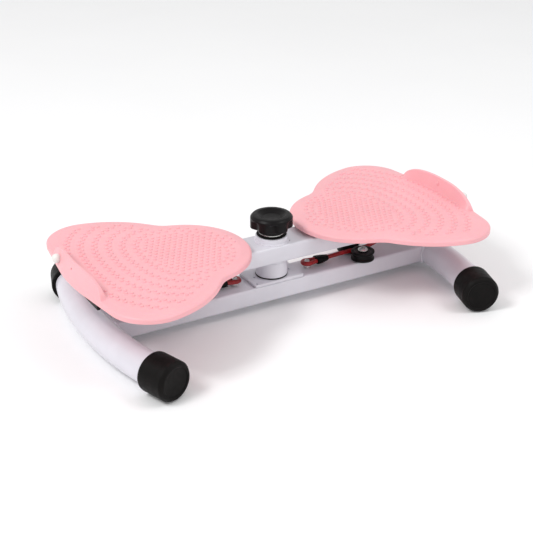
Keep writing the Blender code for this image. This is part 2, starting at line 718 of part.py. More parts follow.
def pocket_outlines(outline):
    """Pockets in the underside, leaving the skirt, cross ribs and screw bosses."""
    xs = (outline[:, 0].min() + PEDAL_WALL + 0.012, 0.105, 0.160, 0.240,
          outline[:, 0].max() - PEDAL_WALL - 0.004)
    rows = (0.0, 0.030, 0.085, 0.200)
    rib = 0.0014
    pockets = []
    for x0, x1 in zip(xs[:-1], xs[1:]):
        for y0, y1 in zip(rows[:-1], rows[1:]):
            upper = []
            for x in np.linspace(x0 + rib, x1 - rib, 5):
                limit = half_width(x, outline) - PEDAL_WALL * 1.5
                upper.append((x, min(y1 - rib, limit)))
            low = y0 + rib
            if min(y for _, y in upper) < low + 0.006:
                continue
            for sign in (-1, 1):
                loop = [(x0 + rib, low), (x1 - rib, low)] + upper[::-1]
                pockets.append([(x, sign * y) for x, y in loop])
    return pockets


def build_pedal(label, turn):
    outline = pedal_outline(90)
    normal = inward(outline)
    weights = [flap_weight(p) for p in outline]
    loops = []
    for rim, flap in zip(RIM_SECTION, FLAP_SECTION):
        loop = []
        for p, n, w in zip(outline, normal, weights):
            inset = rim[0] + (flap[0] - rim[0]) * w
            z = rim[1] + (flap[1] - rim[1]) * w
            loop.append((p[0] + n[0] * inset, p[1] + n[1] * inset, z))
        loops.append(loop)
    bm = bmesh.new()
    ring_loops(bm, loops)
    pedal = finish("foot_plate_" + label, bm, PINK)
    bm = bmesh.new()
    ceiling = PEDAL_FIELD_Z - PEDAL_SKIN
    for pocket in pocket_outlines(outline):
        add_prism(bm, pocket, PEDAL_Z0 - 0.01, ceiling)
    subtract(pedal, finish("pockets", bm, PINK))
    add_stop_button(pedal)
    add_bosses(pedal)
    place(pedal, turn)

    # white bumper button on the outside of the side stop
    cap = flap_cap(label)
    place(cap, turn)

    bm = bmesh.new()
    z0 = SWING_TOP + GAP
    plate = rounded_rect(PLATE_BAR_X[1] - PLATE_BAR_X[0], 2 * PLATE_BAR_Y, 0.006, 3)
    mid = (PLATE_BAR_X[0] + PLATE_BAR_X[1]) / 2
    add_prism(bm, [(mid + x, y) for x, y in plate], z0, z0 + PLATE_BAR_T)
    support = finish("support_plate_" + label, bm, PAINT, smooth=False)
    drill(support, [(x, y, PEDAL_SCREW_R + GAP) for x, y in screw_places()],
          z0 - 0.01, z0 + 0.01)
    place(support, turn)

    for row, (x, y) in zip(("front", "rear"), screw_places()):
        row_name = {"front": "rear", "rear": "front"}[row] if turn else row
        profile = ((0.0028, z0 - 0.0034), (0.0045, z0 - 0.0022), (0.0045, z0 - GAP),
                   (PEDAL_SCREW_R, z0 - GAP), (PEDAL_SCREW_R, z0 + 0.0090))
        bm = bmesh.new()
        add_lathe(bm, profile, (x, y, 0), 12, bored=False)
        place(finish("foot_plate_screw_%s_%s" % (row_name, label), bm, STEEL), turn)


def add_stop_button(pedal):
    """Domed button on the inner face of the side stop, with a dimple on the outer face."""
    y, z = STOP_BUTTON_YZ
    bm = bmesh.new()
    ring_loops(bm, [[(x, y + u, z + v) for u, v in circle(0.0016, 10)]
                    for x in (STOP_OUTER_X - 0.0014, STOP_OUTER_X + 0.01)])
    subtract(pedal, finish("dimple", bm, PINK))
    bm = bmesh.new()
    loops = []
    for out, radius in ((-0.0012, 0.0030), (0.0002, 0.0030), (0.0012, 0.0026),
                        (0.0020, 0.0017), (0.0023, 0.0007)):
        loops.append([(STOP_INNER_X - out, y + u, z + v) for u, v in circle(radius, 12)])
    ring_loops(bm, loops)
    unite(pedal, finish("button", bm, PINK))


def screw_places():
    return [(PEDAL_SCREW_X, -PEDAL_SCREW_Y), (PEDAL_SCREW_X, PEDAL_SCREW_Y)]


def add_bosses(pedal):
    """Round screw bosses under the skin, then their blind pilot holes."""
    bm = bmesh.new()
    for x, y in screw_places():
        outline = [(x + u, y + v) for u, v in circle(0.0062, 12)]
        add_prism(bm, outline, PEDAL_Z0, PEDAL_FIELD_Z - PEDAL_SKIN + 0.001)
    unite(pedal, finish("bosses", bm, PINK))
    drill(pedal, [(x, y, PEDAL_SCREW_R + GAP) for x, y in screw_places()],
          PEDAL_Z0 - 0.002, SWING_TOP + GAP + 0.0093, 12)


def flap_cap(label):
    """Ball-ended bumper standing on the outer face near one end of the side stop."""
    x, y, z = 0.2924, -0.0460, 0.1150
    radius = 0.0062
    seat = 0.0036
    bm = bmesh.new()
    start = math.asin(-seat / radius)
    profile = []
    for k in range(6):
        angle = start + (math.radians(78) - start) * k / 5
        profile.append((radius * math.cos(angle), radius * math.sin(angle)))
    add_lathe(bm, profile, (0, 0, 0), 16, bored=False)
    tilt = Matrix.Rotation(math.radians(76), 4, 'Y')
    yaw = Matrix.Rotation(math.radians(-7), 4, 'Z')
    spot = Matrix.Translation((x, y, z))
    bmesh.ops.transform(bm, matrix=spot @ yaw @ tilt, verts=bm.verts)
    return finish("side_stop_cap_" + label, bm, WHITE)


def place(obj, turn):
    """The two foot plates are one moulding: the left one is turned half way round."""
    if turn:
        obj.data.transform(Matrix.Rotation(math.pi, 4, 'Z'))


# ---------------------------------------------------------------- assembly
clear_scene()
build_base()
build_plate()
build_pivot()
build_swing()
build_stack()
build_knob()
build_pulleys()
build_anchors()
build_rope("left", -1)
build_rope("right", 1)
build_pedal("right", False)
build_pedal("left", True)
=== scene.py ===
"""Swing stepper: detailed pieces, materials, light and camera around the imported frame.

Metres, +X along the base beam to the right foot plate, +Y to the rear, +Z up, floor at z = 0.
"""

import math

import bmesh
import bpy
import numpy as np
from mathutils import Matrix, Vector, geometry


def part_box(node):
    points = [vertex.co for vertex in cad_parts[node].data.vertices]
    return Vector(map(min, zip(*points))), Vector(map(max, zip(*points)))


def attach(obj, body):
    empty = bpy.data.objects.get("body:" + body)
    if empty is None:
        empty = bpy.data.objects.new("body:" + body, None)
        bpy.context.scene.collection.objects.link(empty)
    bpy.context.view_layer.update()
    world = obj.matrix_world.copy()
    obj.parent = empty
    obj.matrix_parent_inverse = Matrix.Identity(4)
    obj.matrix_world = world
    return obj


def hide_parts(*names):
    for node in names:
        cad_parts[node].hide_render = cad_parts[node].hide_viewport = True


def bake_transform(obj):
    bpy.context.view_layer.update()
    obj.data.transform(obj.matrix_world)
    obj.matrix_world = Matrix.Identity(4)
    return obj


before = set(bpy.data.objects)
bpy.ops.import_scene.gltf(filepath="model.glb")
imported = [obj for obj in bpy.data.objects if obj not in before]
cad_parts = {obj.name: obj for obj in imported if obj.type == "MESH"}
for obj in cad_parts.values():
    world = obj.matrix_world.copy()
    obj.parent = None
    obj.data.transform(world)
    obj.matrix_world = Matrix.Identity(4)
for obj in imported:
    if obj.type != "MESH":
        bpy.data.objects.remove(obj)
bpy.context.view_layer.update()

# ------------------------------ sizes
TAU = 2 * math.pi
GAP = 0.0003                  # clearance between neighbouring pieces
BORE_PLAY = 0.0002            # extra radius of a hole over its screw
OVERRUN = 0.010               # how far a cutter passes the surface it cuts
SIDES = (("left", -1), ("right", 1))


def span(node, axis):
    """(lowest, highest) of a CAD node along one axis."""
    low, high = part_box(node)
    return low[axis], high[axis]


# base frame
LEG_Z0, LEG_Z1 = span("leg_tube_right", 2)
LEG_R = (LEG_Z1 - LEG_Z0) / 2
LEG_Z = (LEG_Z1 + LEG_Z0) / 2
LEG_X = span("leg_tube_right", 0)[1] - LEG_R
LEG_ARC_R = 0.513             # plan radius of the leg's bend
LEG_WALL = 0.0018
CAP_R = LEG_Z
CAP_START = 0.2682            # bend angle where a foot cap begins
CAP_LEN = 0.0404
BEAM_W = 0.050
BEAM_H = 0.025
BEAM_WALL = 0.0018
BEAM_CORNER = 0.0030
BASE_Z0, BASE_Z1 = span("base_beam", 2)
LEG_WELD_R = 0.0028
HUB_WELD_R = 0.0017
WELD_STANDOFF = 0.0004        # how far a bead's centre stands off the surface
NUT_T = 0.0048
NUT_Z1 = BASE_Z1 - BEAM_WALL - GAP
NUT_BORE_R = 0.0031
PLATE_X = span("pivot_plate", 0)[1]
PLATE_Y = span("pivot_plate", 1)[1]
PLATE_Z0, PLATE_Z1 = span("pivot_plate", 2)

# pivot
HUB_R = span("hub_tube", 0)[1]
BOLT_R = 0.006
SWING_Z0, SWING_Z1 = span("swing_beam", 2)
SWING_HALF = span("swing_beam", 0)[1]
PLUG_END = span("swing_end_plug_right", 0)[1]
PLUG_LIP = 0.0032             # flange stands this far proud of the tube
PLUG_CORNER = 0.0032
SPIGOT_DEPTH = 0.014
SPIGOT_WALL = 0.002
KNOB_R = 0.0292
KNOB_COLLAR_R = 0.0172
KNOB_Z0, KNOB_TOP = span("clamp_knob", 2)
KNOB_SKIRT_Z = KNOB_Z0 + 0.0022
KNOB_LOBES = 6
KNOB_LOBE_DEPTH = 0.0046
KNOB_PHASE = math.radians(36.6)

# pulleys and ropes
PULLEY_X = 0.140
PULLEY_Y = 0.0183
PULLEY_R = 0.0167
PULLEY_WAIST_R = 0.0148
PULLEY_H = 0.0130
PULLEY_BORE_R = 0.0031
PULLEY_BOLT_R = 0.0030
PULLEY_Z = BASE_Z1 + 0.0016
ROPE_R = 0.003
ROPE_Z = PULLEY_Z + PULLEY_H / 2 + 0.0005
ANCHOR_X = 0.058
ANCHOR_R = 0.003
ROPE_BASE_Z = 0.0464
FAR_X = 0.232
FAR_Z = 0.0585
LOOP_R = ANCHOR_R + ROPE_R + 0.0004
STRAND_Y = 0.0034
SLEEVE_LEN = 0.0195
SLEEVE_NEAR = 0.0142

# foot plates: plan corners (x, y, corner radius) of half the outline
PEDAL_CORNERS = (
    (0.2974, 0.0000, 0.2989),
    (0.2750, 0.1614, 0.0551),
    (0.1725, 0.1504, 0.1411),
    (0.1210, 0.0911, 0.0329),
    (0.0443, 0.0763, 0.0915),
)
PEDAL_Z0 = span("foot_plate_right", 2)[0]
FIELD_Z = 0.1084
FLAP_TOP = span("foot_plate_right", 2)[1]
FLAP_HALF = 0.080
FLAP_T = 0.0040
FLAP_LEAN = 0.0062
STOP_BUTTON = (0.2842, 0.0030, 0.1200)   # on the inner face of the side stop
STOP_DIMPLE = (0.2895, 0.0030, 0.1200)   # behind it, on the outer face
BUMPER = (0.2924, -0.0460, 0.1150)       # centre of the white bumper's ball
BUMPER_R = 0.0062
BUMPER_SEAT = 0.0038
NUB_R = 0.00225
NUB_H = 0.0016
NUB_GAP = 0.0054              # least distance between two nub centres
NUB_SIDES = 12
NUB_STEP = 0.0116             # spacing along one row of a zigzag pair
NUB_GRID = (0.0086, 0.0078)   # spacing in the middle
NUB_PROFILE = ((0.90, 0.50), (0.72, 0.82), (0.42, 0.96))   # (share of radius, share of height)
NUB_CENTRE_X = 0.140
SCREW_X = 0.200
SCREW_Y = 0.060


# ------------------------------ mesh helpers
class Skin:
    """Vertices and faces of one piece, gathered from lofts, lathes and tubes."""

    def __init__(self):
        self.points = []
        self.faces = []

    def loft(self, loops, ring=False, caps=(True, True)):
        base = len(self.points)
        count = len(loops[0])
        for loop in loops:
            self.points.extend(tuple(p) for p in loop)
        rows = len(loops)
        for r in range(rows if ring else rows - 1):
            low = base + r * count
            high = base + (r + 1) % rows * count
            for i in range(count):
                j = (i + 1) % count
                self.faces.append((low + i, low + j, high + j, high + i))
        if not ring:
            if caps[0]:
                self.faces.append(tuple(range(base + count - 1, base - 1, -1)))
            if caps[1]:
                last = base + (rows - 1) * count
                self.faces.append(tuple(range(last, last + count)))
        return self

    def lathe(self, profile, centre=(0, 0, 0), segments=64, ring=False, turn=None):
        """Revolve (radius, z) points about Z, then turn and move them."""
        loops = []
        for radius, z in profile:
            loop = [Vector((radius * math.cos(a), radius * math.sin(a), z))
                    for a in np.linspace(0, TAU, segments, endpoint=False)]
            if turn is not None:
                loop = [turn @ p for p in loop]
            loops.append([p + Vector(centre) for p in loop])
        return self.loft(loops, ring=ring)

    def prism(self, outline, z0, z1, edge=0.0004):
        """Upright prism with small chamfers top and bottom."""
        centre = np.mean(np.array(outline), axis=0)
        loops = []
        for z, inset in ((z0, edge), (z0 + edge, 0), (z1 - edge, 0), (z1, edge)):
            loop = []
            for x, y in outline:
                d = Vector((x - centre[0], y - centre[1]))
                d = d - d.normalized() * inset
                loop.append((centre[0] + d.x, centre[1] + d.y, z))
            loops.append(loop)
        return self.loft(loops)

    def tube(self, path, radii, segments):
        """Round tube along points, with one radius per point."""
        path = [Vector(p) for p in path]
        loops = []
        normal = Vector((0, 0, 1))
        for i, p in enumerate(path):
            ahead = path[min(i + 1, len(path) - 1)]
            behind = path[max(i - 1, 0)]
            tangent = (ahead - behind).normalized()
            side = tangent.cross(normal).normalized()
            up = side.cross(tangent)
            r = radii[i]
            loops.append([p + side * (r * math.cos(a)) + up * (r * math.sin(a))
                          for a in np.linspace(0, TAU, segments, endpoint=False)])
        return self.loft(loops)


def add_object(name, data):
    obj = bpy.data.objects.new(name, data)
    bpy.context.scene.collection.objects.link(obj)
    return obj


def object_from(name, skin, smooth=True):
    """Put a skin into the scene with its faces turned outward."""
    mesh = bpy.data.meshes.new(name)
    mesh.from_pydata([tuple(p) for p in skin.points], [], skin.faces)
    bm = bmesh.new()
    bm.from_mesh(mesh)
    bmesh.ops.recalc_face_normals(bm, faces=bm.faces)
    for face in bm.faces:
        face.smooth = smooth
    bm.to_mesh(mesh)
    bm.free()
    return add_object(name, mesh)


def piece(name, skin, look, body, sharp=38.0, extra=False):
    """A finished object: smooth with sharp creases, riding on its body.

    It replaces the CAD node of its own name, unless it is extra. A look is a material
    and its slot name; the slot name is not used.
    """
    material, own_slot = look
    obj = object_from(name, skin)
    obj.data.set_sharp_from_angle(angle=math.radians(sharp))
    obj.data.materials.append(material)
    if not extra:
        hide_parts(name)
    if body:
        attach(obj, body)
    return obj


def cut(obj, skin, sharp=38.0):
    """Cut a shape out of a piece and keep the result as its mesh."""
    cutter = object_from("cutter", skin, smooth=False)
    mod = obj.modifiers.new("cut", 'BOOLEAN')
    mod.operation = 'DIFFERENCE'
    mod.solver = 'EXACT'
    mod.object = cutter
    mod.use_self = True
    graph = bpy.context.evaluated_depsgraph_get()
    result = bpy.data.meshes.new_from_object(obj.evaluated_get(graph))
    obj.modifiers.clear()
    material = obj.data.materials[0]
    obj.data = result
    result.materials.clear()
    result.materials.append(material)
    for poly in result.polygons:
        poly.use_smooth = True
    result.set_sharp_from_angle(angle=math.radians(sharp))
    bpy.data.objects.remove(cutter, do_unlink=True)


def rounded(points, steps=6):
    """Open run of (a, b, radius) corners made into a smooth profile."""
    out = []
    for i, (a, b, radius) in enumerate(points):
        if radius <= 0 or i in (0, len(points) - 1):
            out.append((a, b))
            continue
        here = Vector((a, b))
        before = (Vector(points[i - 1][:2]) - here)
        after = (Vector(points[i + 1][:2]) - here)
        u, v = before.normalized(), after.normalized()
        opening = math.acos(max(-1.0, min(1.0, u.dot(v))))
        reach = min(radius / math.tan(opening / 2), before.length * 0.49, after.length * 0.49)
        start, end = here + u * reach, here + v * reach
        for k in range(steps + 1):
            t = k / steps
            p = start * (1 - t) ** 2 + here * (2 * t * (1 - t)) + end * t ** 2
            out.append((p.x, p.y))
    return out


def rounded_rect(width, height, radius, steps=8):
    points = []
    for sx, sy, start in ((1, 1, 0), (-1, 1, 90), (-1, -1, 180), (1, -1, 270)):
        for k in range(steps + 1):
            angle = math.radians(start + 90 * k / steps)
            points.append((sx * (width / 2 - radius) + radius * math.cos(angle),
                           sy * (height / 2 - radius) + radius * math.sin(angle)))
    return points


def circle(radius, segments, centre=(0, 0)):
    return [(centre[0] + radius * math.cos(a), centre[1] + radius * math.sin(a))
            for a in np.linspace(0, TAU, segments, endpoint=False)]


def smoothstep(t):
    t = min(1.0, max(0.0, t))
    return t * t * (3 - 2 * t)


# ------------------------------ materials
def principled(name, colour, rough, metal=0.0, **sockets):
    mat = bpy.data.materials.new(name)
    mat.use_nodes = True
    shader = mat.node_tree.nodes["Principled BSDF"]
    shader.inputs["Base Color"].default_value = (*colour, 1)
    shader.inputs["Roughness"].default_value = rough
    shader.inputs["Metallic"].default_value = metal
    for socket, value in sockets.items():
        shader.inputs[socket.replace("_", " ")].default_value = value
    mat.diffuse_color = (*colour, 1)
    return mat


def noise(mat, scale, detail, stretch=(1, 1, 1)):
    tree = mat.node_tree
    coords = tree.nodes.new("ShaderNodeTexCoord")
    mapping = tree.nodes.new("ShaderNodeMapping")
    mapping.inputs["Scale"].default_value = stretch
    tex = tree.nodes.new("ShaderNodeTexNoise")
    tex.inputs["Scale"].default_value = scale
    tex.inputs["Detail"].default_value = detail
    tex.inputs["Roughness"].default_value = 0.55
    tree.links.new(coords.outputs["Object"], mapping.inputs["Vector"])
    tree.links.new(mapping.outputs["Vector"], tex.inputs["Vector"])
    return tex.outputs["Fac"]


def tint(mat, fac, colour_a, colour_b):
    """Mottle the base colour between two close shades."""
    tree = mat.node_tree
    ramp = tree.nodes.new("ShaderNodeValToRGB")
    ramp.color_ramp.elements[0].position = 0.35
    ramp.color_ramp.elements[0].color = (*colour_a, 1)
    ramp.color_ramp.elements[1].position = 0.65
    ramp.color_ramp.elements[1].color = (*colour_b, 1)
    tree.links.new(fac, ramp.inputs["Fac"])
    tree.links.new(ramp.outputs["Color"], tree.nodes["Principled BSDF"].inputs["Base Color"])


def roughen(mat, fac, low, high):
    """Vary the roughness between two values."""
    tree = mat.node_tree
    node = tree.nodes.new("ShaderNodeMapRange")
    for socket, value in (("From Min", 0.3), ("From Max", 0.7), ("To Min", low), ("To Max", high)):
        node.inputs[socket].default_value = value
    tree.links.new(fac, node.inputs["Value"])
    tree.links.new(node.outputs["Result"], tree.nodes["Principled BSDF"].inputs["Roughness"])


def bump(mat, *layers):
    """Stack (height value, strength, distance) bumps under the shader's normal."""
    tree = mat.node_tree
    last = None
    for fac, strength, distance in layers:
        node = tree.nodes.new("ShaderNodeBump")
        node.inputs["Strength"].default_value = strength
        node.inputs["Distance"].default_value = distance
        tree.links.new(fac, node.inputs["Height"])
        if last is not None:
            tree.links.new(last.outputs["Normal"], node.inputs["Normal"])
        last = node
    tree.links.new(last.outputs["Normal"], tree.nodes["Principled BSDF"].inputs["Normal"])


def scaled(colour, k):
    return tuple(min(1.0, c * k) for c in colour)


def surface(name, colour, rough, mottle, gloss, *grain, metal=0.0, stretch=(1, 1, 1), **sockets):
    """Mottle (scale, detail, dark, light), gloss (scale, detail, low, high) and bump layers."""
    mat = principled(name, colour, rough, metal, **sockets)
    tint(mat, noise(mat, *mottle[:2]), scaled(colour, mottle[2]), scaled(colour, mottle[3]))
    roughen(mat, noise(mat, *gloss[:2], stretch=stretch), *gloss[2:])
    bump(mat, *[(noise(mat, scale, detail, stretch=stretch), strength, distance)
                for scale, detail, strength, distance in grain])
    return mat


def powder_coat():
    """Satin white powder coat: fine orange peel and faint shade changes."""
    return surface("white_powder_coat", (0.700, 0.685, 0.745), 0.34, (22, 3, 0.965, 1.02),
                   (140, 3, 0.31, 0.42), (900, 2, 0.16, 0.0002), (60, 2, 0.05, 0.0006),
                   Coat_Weight=0.15, Coat_Roughness=0.22)


def pink_moulding():
    """Soft pink moulded plastic with a fine spark-eroded grain."""
    return surface("pink_moulding", (0.880, 0.430, 0.465), 0.40, (14, 3, 0.97, 1.025),
                   (220, 3, 0.42, 0.52), (1500, 2, 0.12, 0.00015), (45, 2, 0.03, 0.0006),
                   Subsurface_Weight=0.06, Subsurface_Scale=0.004)


def black_rubber():
    return surface("black_rubber_moulding", (0.0050, 0.0042, 0.0040), 0.5, (60, 5, 0.8, 1.35),
                   (180, 4, 0.42, 0.60), (1300, 3, 0.22, 0.0002), (90, 3, 0.06, 0.0006),
                   Specular_IOR_Level=0.10)


def black_plastic():
    return surface("black_knob_plastic", (0.0050, 0.0040, 0.0044), 0.30, (40, 4, 0.85, 1.25),
                   (260, 3, 0.30, 0.43), (1900, 2, 0.16, 0.00014), (120, 2, 0.05, 0.0004),
                   Specular_IOR_Level=0.14)


def black_nylon():
    return surface("black_nylon_moulding", (0.009, 0.008, 0.008), 0.48, (70, 3, 0.85, 1.2),
                   (300, 3, 0.42, 0.55), (1500, 2, 0.12, 0.00015), Specular_IOR_Level=0.2)


def white_cap_plastic():
    return surface("white_cap_plastic", (0.80, 0.79, 0.765), 0.4, (90, 3, 0.96, 1.01),
                   (400, 2, 0.36, 0.46), (1500, 2, 0.10, 0.00012))


def zinc_steel():
    """Bright zinc plate with a fine turned grain."""
    return surface("zinc_plated_steel", (0.74, 0.74, 0.72), 0.24, (120, 4, 0.86, 1.06),
                   (500, 3, 0.16, 0.34), (900, 3, 0.12, 0.0001), metal=1.0, stretch=(1, 1, 6))


def brass():
    return surface("turned_brass", (0.74, 0.55, 0.25), 0.26, (150, 4, 0.85, 1.05),
                   (600, 3, 0.18, 0.34), (900, 3, 0.1, 0.0001), metal=1.0)


def red_latex():
    return surface("red_latex_rope", (0.33, 0.008, 0.011), 0.38, (130, 4, 0.72, 1.22),
                   (300, 3, 0.30, 0.48), (900, 3, 0.12, 0.0002))


PAINT = powder_coat(), "white_paint"
PINK = pink_moulding(), "pink_plastic"
RUBBER = black_rubber(), "black_rubber"
PLASTIC = black_plastic(), "black_plastic"
NYLON = black_nylon(), "black_nylon"
WHITE = white_cap_plastic(), "white_plastic"
STEEL = zinc_steel(), "zinc_steel"
BRASS = brass(), "brass"
LATEX = red_latex(), "red_latex"


# ------------------------------ base frame
def leg_point(side, angle):
    return Vector((side * (LEG_X - LEG_ARC_R + LEG_ARC_R * math.cos(angle)),
                   LEG_ARC_R * math.sin(angle), LEG_Z))


def leg_ring(side, angle, radius, segments=72):
    centre = leg_point(side, angle)
    out = Vector((side * math.cos(angle), math.sin(angle), 0))
    return [centre + out * (radius * math.cos(a)) + Vector((0, 0, radius * math.sin(a)))
            for a in np.linspace(0, TAU, segments, endpoint=False)]


def build_leg(label, side):
    end = CAP_START + (CAP_LEN - 0.0081) / LEG_ARC_R
    skin = Skin()
    stations = np.linspace(-end, end, 65)
    skin.loft([leg_ring(side, a, LEG_R) for a in stations]
              + [leg_ring(side, a, LEG_R - LEG_WALL) for a in stations[::-1]], ring=True)
    piece("leg_tube_" + label, skin, PAINT, "base")


def build_cap(row, label, side):
    """Moulded cup with a rolled lip, a soft shoulder and a shallow dished end."""
    inner_end = CAP_LEN - 0.0075
    profile = rounded((
        (LEG_R - 0.0002, inner_end, 0), (LEG_R - 0.0002, 0.0004, 0.0004),
        (CAP_R - 0.0004, 0.0, 0.0010), (CAP_R, 0.0026, 0.0015),
        (CAP_R - 0.0002, CAP_LEN - 0.0046, 0.0030), (CAP_R - 0.0034, CAP_LEN - 0.0002, 0.0022),
        (0.0198, CAP_LEN - 0.0001, 0.0008), (0.0190, CAP_LEN - 0.0012, 0.0006),
        (0.0040, CAP_LEN - 0.0016, 0.004), (0.0002, CAP_LEN - 0.0017, 0)), 5)
    loops = []
    for radius, s in profile:
        angle = (CAP_START + s / LEG_ARC_R) * (-1 if row == "front" else 1)
        loops.append(leg_ring(side, angle, radius, 80))
    name = "leg_cap_%s_%s" % (row, label)
    piece(name, Skin().loft(loops), RUBBER, "base")


def box_tube(half_length, z0):
    """Rectangular tube along X with drawn corners and deburred ends."""
    zc = z0 + BEAM_H / 2
    outer = rounded_rect(BEAM_W, BEAM_H, BEAM_CORNER)
    inner = rounded_rect(BEAM_W - 2 * BEAM_WALL, BEAM_H - 2 * BEAM_WALL,
                         BEAM_CORNER - BEAM_WALL)
    trim = 0.0003
    lip = rounded_rect(BEAM_W - 2 * trim, BEAM_H - 2 * trim, BEAM_CORNER - trim)
    loops = []
    for x, section in ((-half_length, lip), (-half_length + trim, outer),
                       (half_length - trim, outer), (half_length, lip),
                       (half_length, inner), (-half_length, inner)):
        loops.append([(x, y, zc + z) for y, z in section])
    return Skin().loft(loops, ring=True)


def cut_holes(obj, holes):
    """Cut upright round holes given as (x, y, radius, z0, z1)."""
    skin = Skin()
    for x, y, radius, z0, z1 in holes:
        skin.loft([[(px, py, z) for px, py in circle(radius, 32, (x, y))] for z in (z0, z1)])
    cut(obj, skin)


def weld_bead(name, path, size, body, pitch=0.0026):
    """Painted weld: a low bead with overlapping ripples round a closed path."""
    ripple = 0.16
    path = [Vector(p) for p in path]
    path.append(path[0])
    lengths = [0.0]
    for p, q in zip(path[:-1], path[1:]):
        lengths.append(lengths[-1] + (q - p).length)
    count = max(24, int(lengths[-1] / (pitch / 6)))
    points = []
    for k in range(count):
        s = lengths[-1] * k / count
        i = int(np.searchsorted(lengths, s, side="right")) - 1
        i = min(max(i, 0), len(path) - 2)
        t = (s - lengths[i]) / max(1e-9, lengths[i + 1] - lengths[i])
        points.append((path[i].lerp(path[i + 1], t), s))
    loops = []
    for k, (p, s) in enumerate(points):
        tangent = (points[(k + 1) % count][0] - points[k - 1][0]).normalized()
        a = Vector((0, 0, 1)) - tangent * tangent.z
        if a.length < 0.2:
            a = Vector((1, 0, 0)) - tangent * tangent.x
        a.normalize()
        b = tangent.cross(a)
        phase = (s / pitch) % 1.0
        r = size * (1 - ripple + ripple * (1 - phase) ** 0.6)
        r *= 1 + 0.05 * math.sin(s * 310) + 0.04 * math.sin(s * 127 + 1)
        loops.append([p + a * (r * math.cos(q)) + b * (r * math.sin(q))
                      for q in np.linspace(0, TAU, 12, endpoint=False)])
    piece(name, Skin().loft(loops, ring=True), PAINT, body, 60, extra=True)


def leg_face_x(y, z):
    """X of the leg tube's inner side at one height and depth."""
    plan = LEG_X - LEG_ARC_R + math.sqrt(LEG_ARC_R ** 2 - y * y)
    return plan - math.sqrt(max(0.0, LEG_R ** 2 - (z - LEG_Z) ** 2))


def build_leg_weld(label, side):
    """Bead where the base beam's end meets the round leg."""
    def on_leg(y, z):
        return side * (leg_face_x(y, z) - WELD_STANDOFF), y, z

    zc = (BASE_Z0 + BASE_Z1) / 2
    loop = [on_leg(y, zc + z) for y, z in
            rounded_rect(BEAM_W + 0.001, BEAM_H + 0.001, BEAM_CORNER + 0.0005, 6)]
    dense = []
    for p, q in zip(loop, loop[1:] + loop[:1]):
        steps = max(1, int((Vector(p) - Vector(q)).length / 0.002))
        for k in range(steps):
            dense.append(on_leg(*(np.array(p)[1:] * (1 - k / steps) + np.array(q)[1:] * k / steps)))
    weld_bead("leg_weld_" + label, dense, LEG_WELD_R, "base")


def build_base():
    beam = piece("base_beam", box_tube(LEG_X - 0.012, BASE_Z0), PAINT, "base")
    low, high = BASE_Z1 - OVERRUN, BASE_Z1 + OVERRUN
    holes = [(0, 0, BOLT_R + BORE_PLAY, BASE_Z0 - OVERRUN, high)]
    for side in (-1, 1):
        holes.append((side * ANCHOR_X, 0, ANCHOR_R + BORE_PLAY, low, high))
        for row in (-1, 1):
            holes.append((side * PULLEY_X, row * PULLEY_Y, 0.0032, low, high))
    cut_holes(beam, holes)
    for label, side in SIDES:
        build_leg(label, side)
        for row in ("front", "rear"):
            build_cap(row, label, side)
        build_leg_weld(label, side)

    outline = rounded_rect(2 * PLATE_X, 2 * PLATE_Y, 0.003, 6)
    plate = piece("pivot_plate", Skin().prism(outline, PLATE_Z0, PLATE_Z1, 0.0005), PAINT,
                  "base")
    low, high = PLATE_Z0 - OVERRUN, PLATE_Z1 + OVERRUN
    holes = [(0, 0, BOLT_R + BORE_PLAY, low, high)]
    for x, y in ((-0.0272, 0.0), (0.0272, 0.0), (-0.0345, -0.0205), (0.0345, 0.0205)):
        holes.append((x, y, 0.0018, low, high))
    cut_holes(plate, holes)


# ------------------------------ fasteners
def hex_prism_loops(across, z0, z1, cx=0, cy=0):
    """Hexagon with its corners chamfered top and bottom, as ring loops of 48 points."""
    chamfer = 0.0006
    apothem = across / 2
    corner = across / math.sqrt(3)
    loops = []
    for z, limit in ((z0, apothem * 1.01), (z0 + chamfer, corner),
                     (z1 - chamfer, corner), (z1, apothem * 1.01)):
        loop = []
        for a in np.linspace(0, TAU, 48, endpoint=False):
            local = (a + math.pi / 6) % (math.pi / 3) - math.pi / 6
            r = min(apothem / math.cos(local), limit)
            a2 = a + math.pi / 6
            loop.append((cx + r * math.cos(a2), cy + r * math.sin(a2), z))
        loops.append(loop)
    return loops


def round_to_hex(loop):
    """Start a 48-point round loop at the same corner as the hexagon's loops."""
    return loop[4:] + loop[:4]


def hex_nut(name, x, y, across, bore, z0, z1, body, look=STEEL):
    loops = hex_prism_loops(across, z0, z1, x, y)
    for z, extra in ((z1, 0.0004), (z1 - 0.0004, 0), (z0 + 0.0004, 0), (z0, 0.0004)):
        loops.append(round_to_hex([(px, py, z) for px, py in circle(bore + extra, 48, (x, y))]))
    piece(name, Skin().loft(loops, ring=True), look, body, 30)


def cross_recess(x, y, z, size, depth, sign=1):
    """Tapered cross-shaped driver recess, opening at height z towards sign."""
    skin = Skin()
    for turn in (0, math.pi / 2):
        loops = []
        for k, shrink in ((sign * 0.002, 1.15), (0.0, 1.0), (-sign * depth, 0.55)):
            half, thick = size * shrink, size * 0.20 * shrink + 0.0001
            loop = []
            for px, py in ((half, thick), (-half, thick), (-half, -thick), (half, -thick)):
                c, s = math.cos(turn + 0.4), math.sin(turn + 0.4)
                loop.append((x + px * c - py * s, y + px * s + py * c, z + k))
            loops.append(loop)
        skin.loft(loops)
    return skin


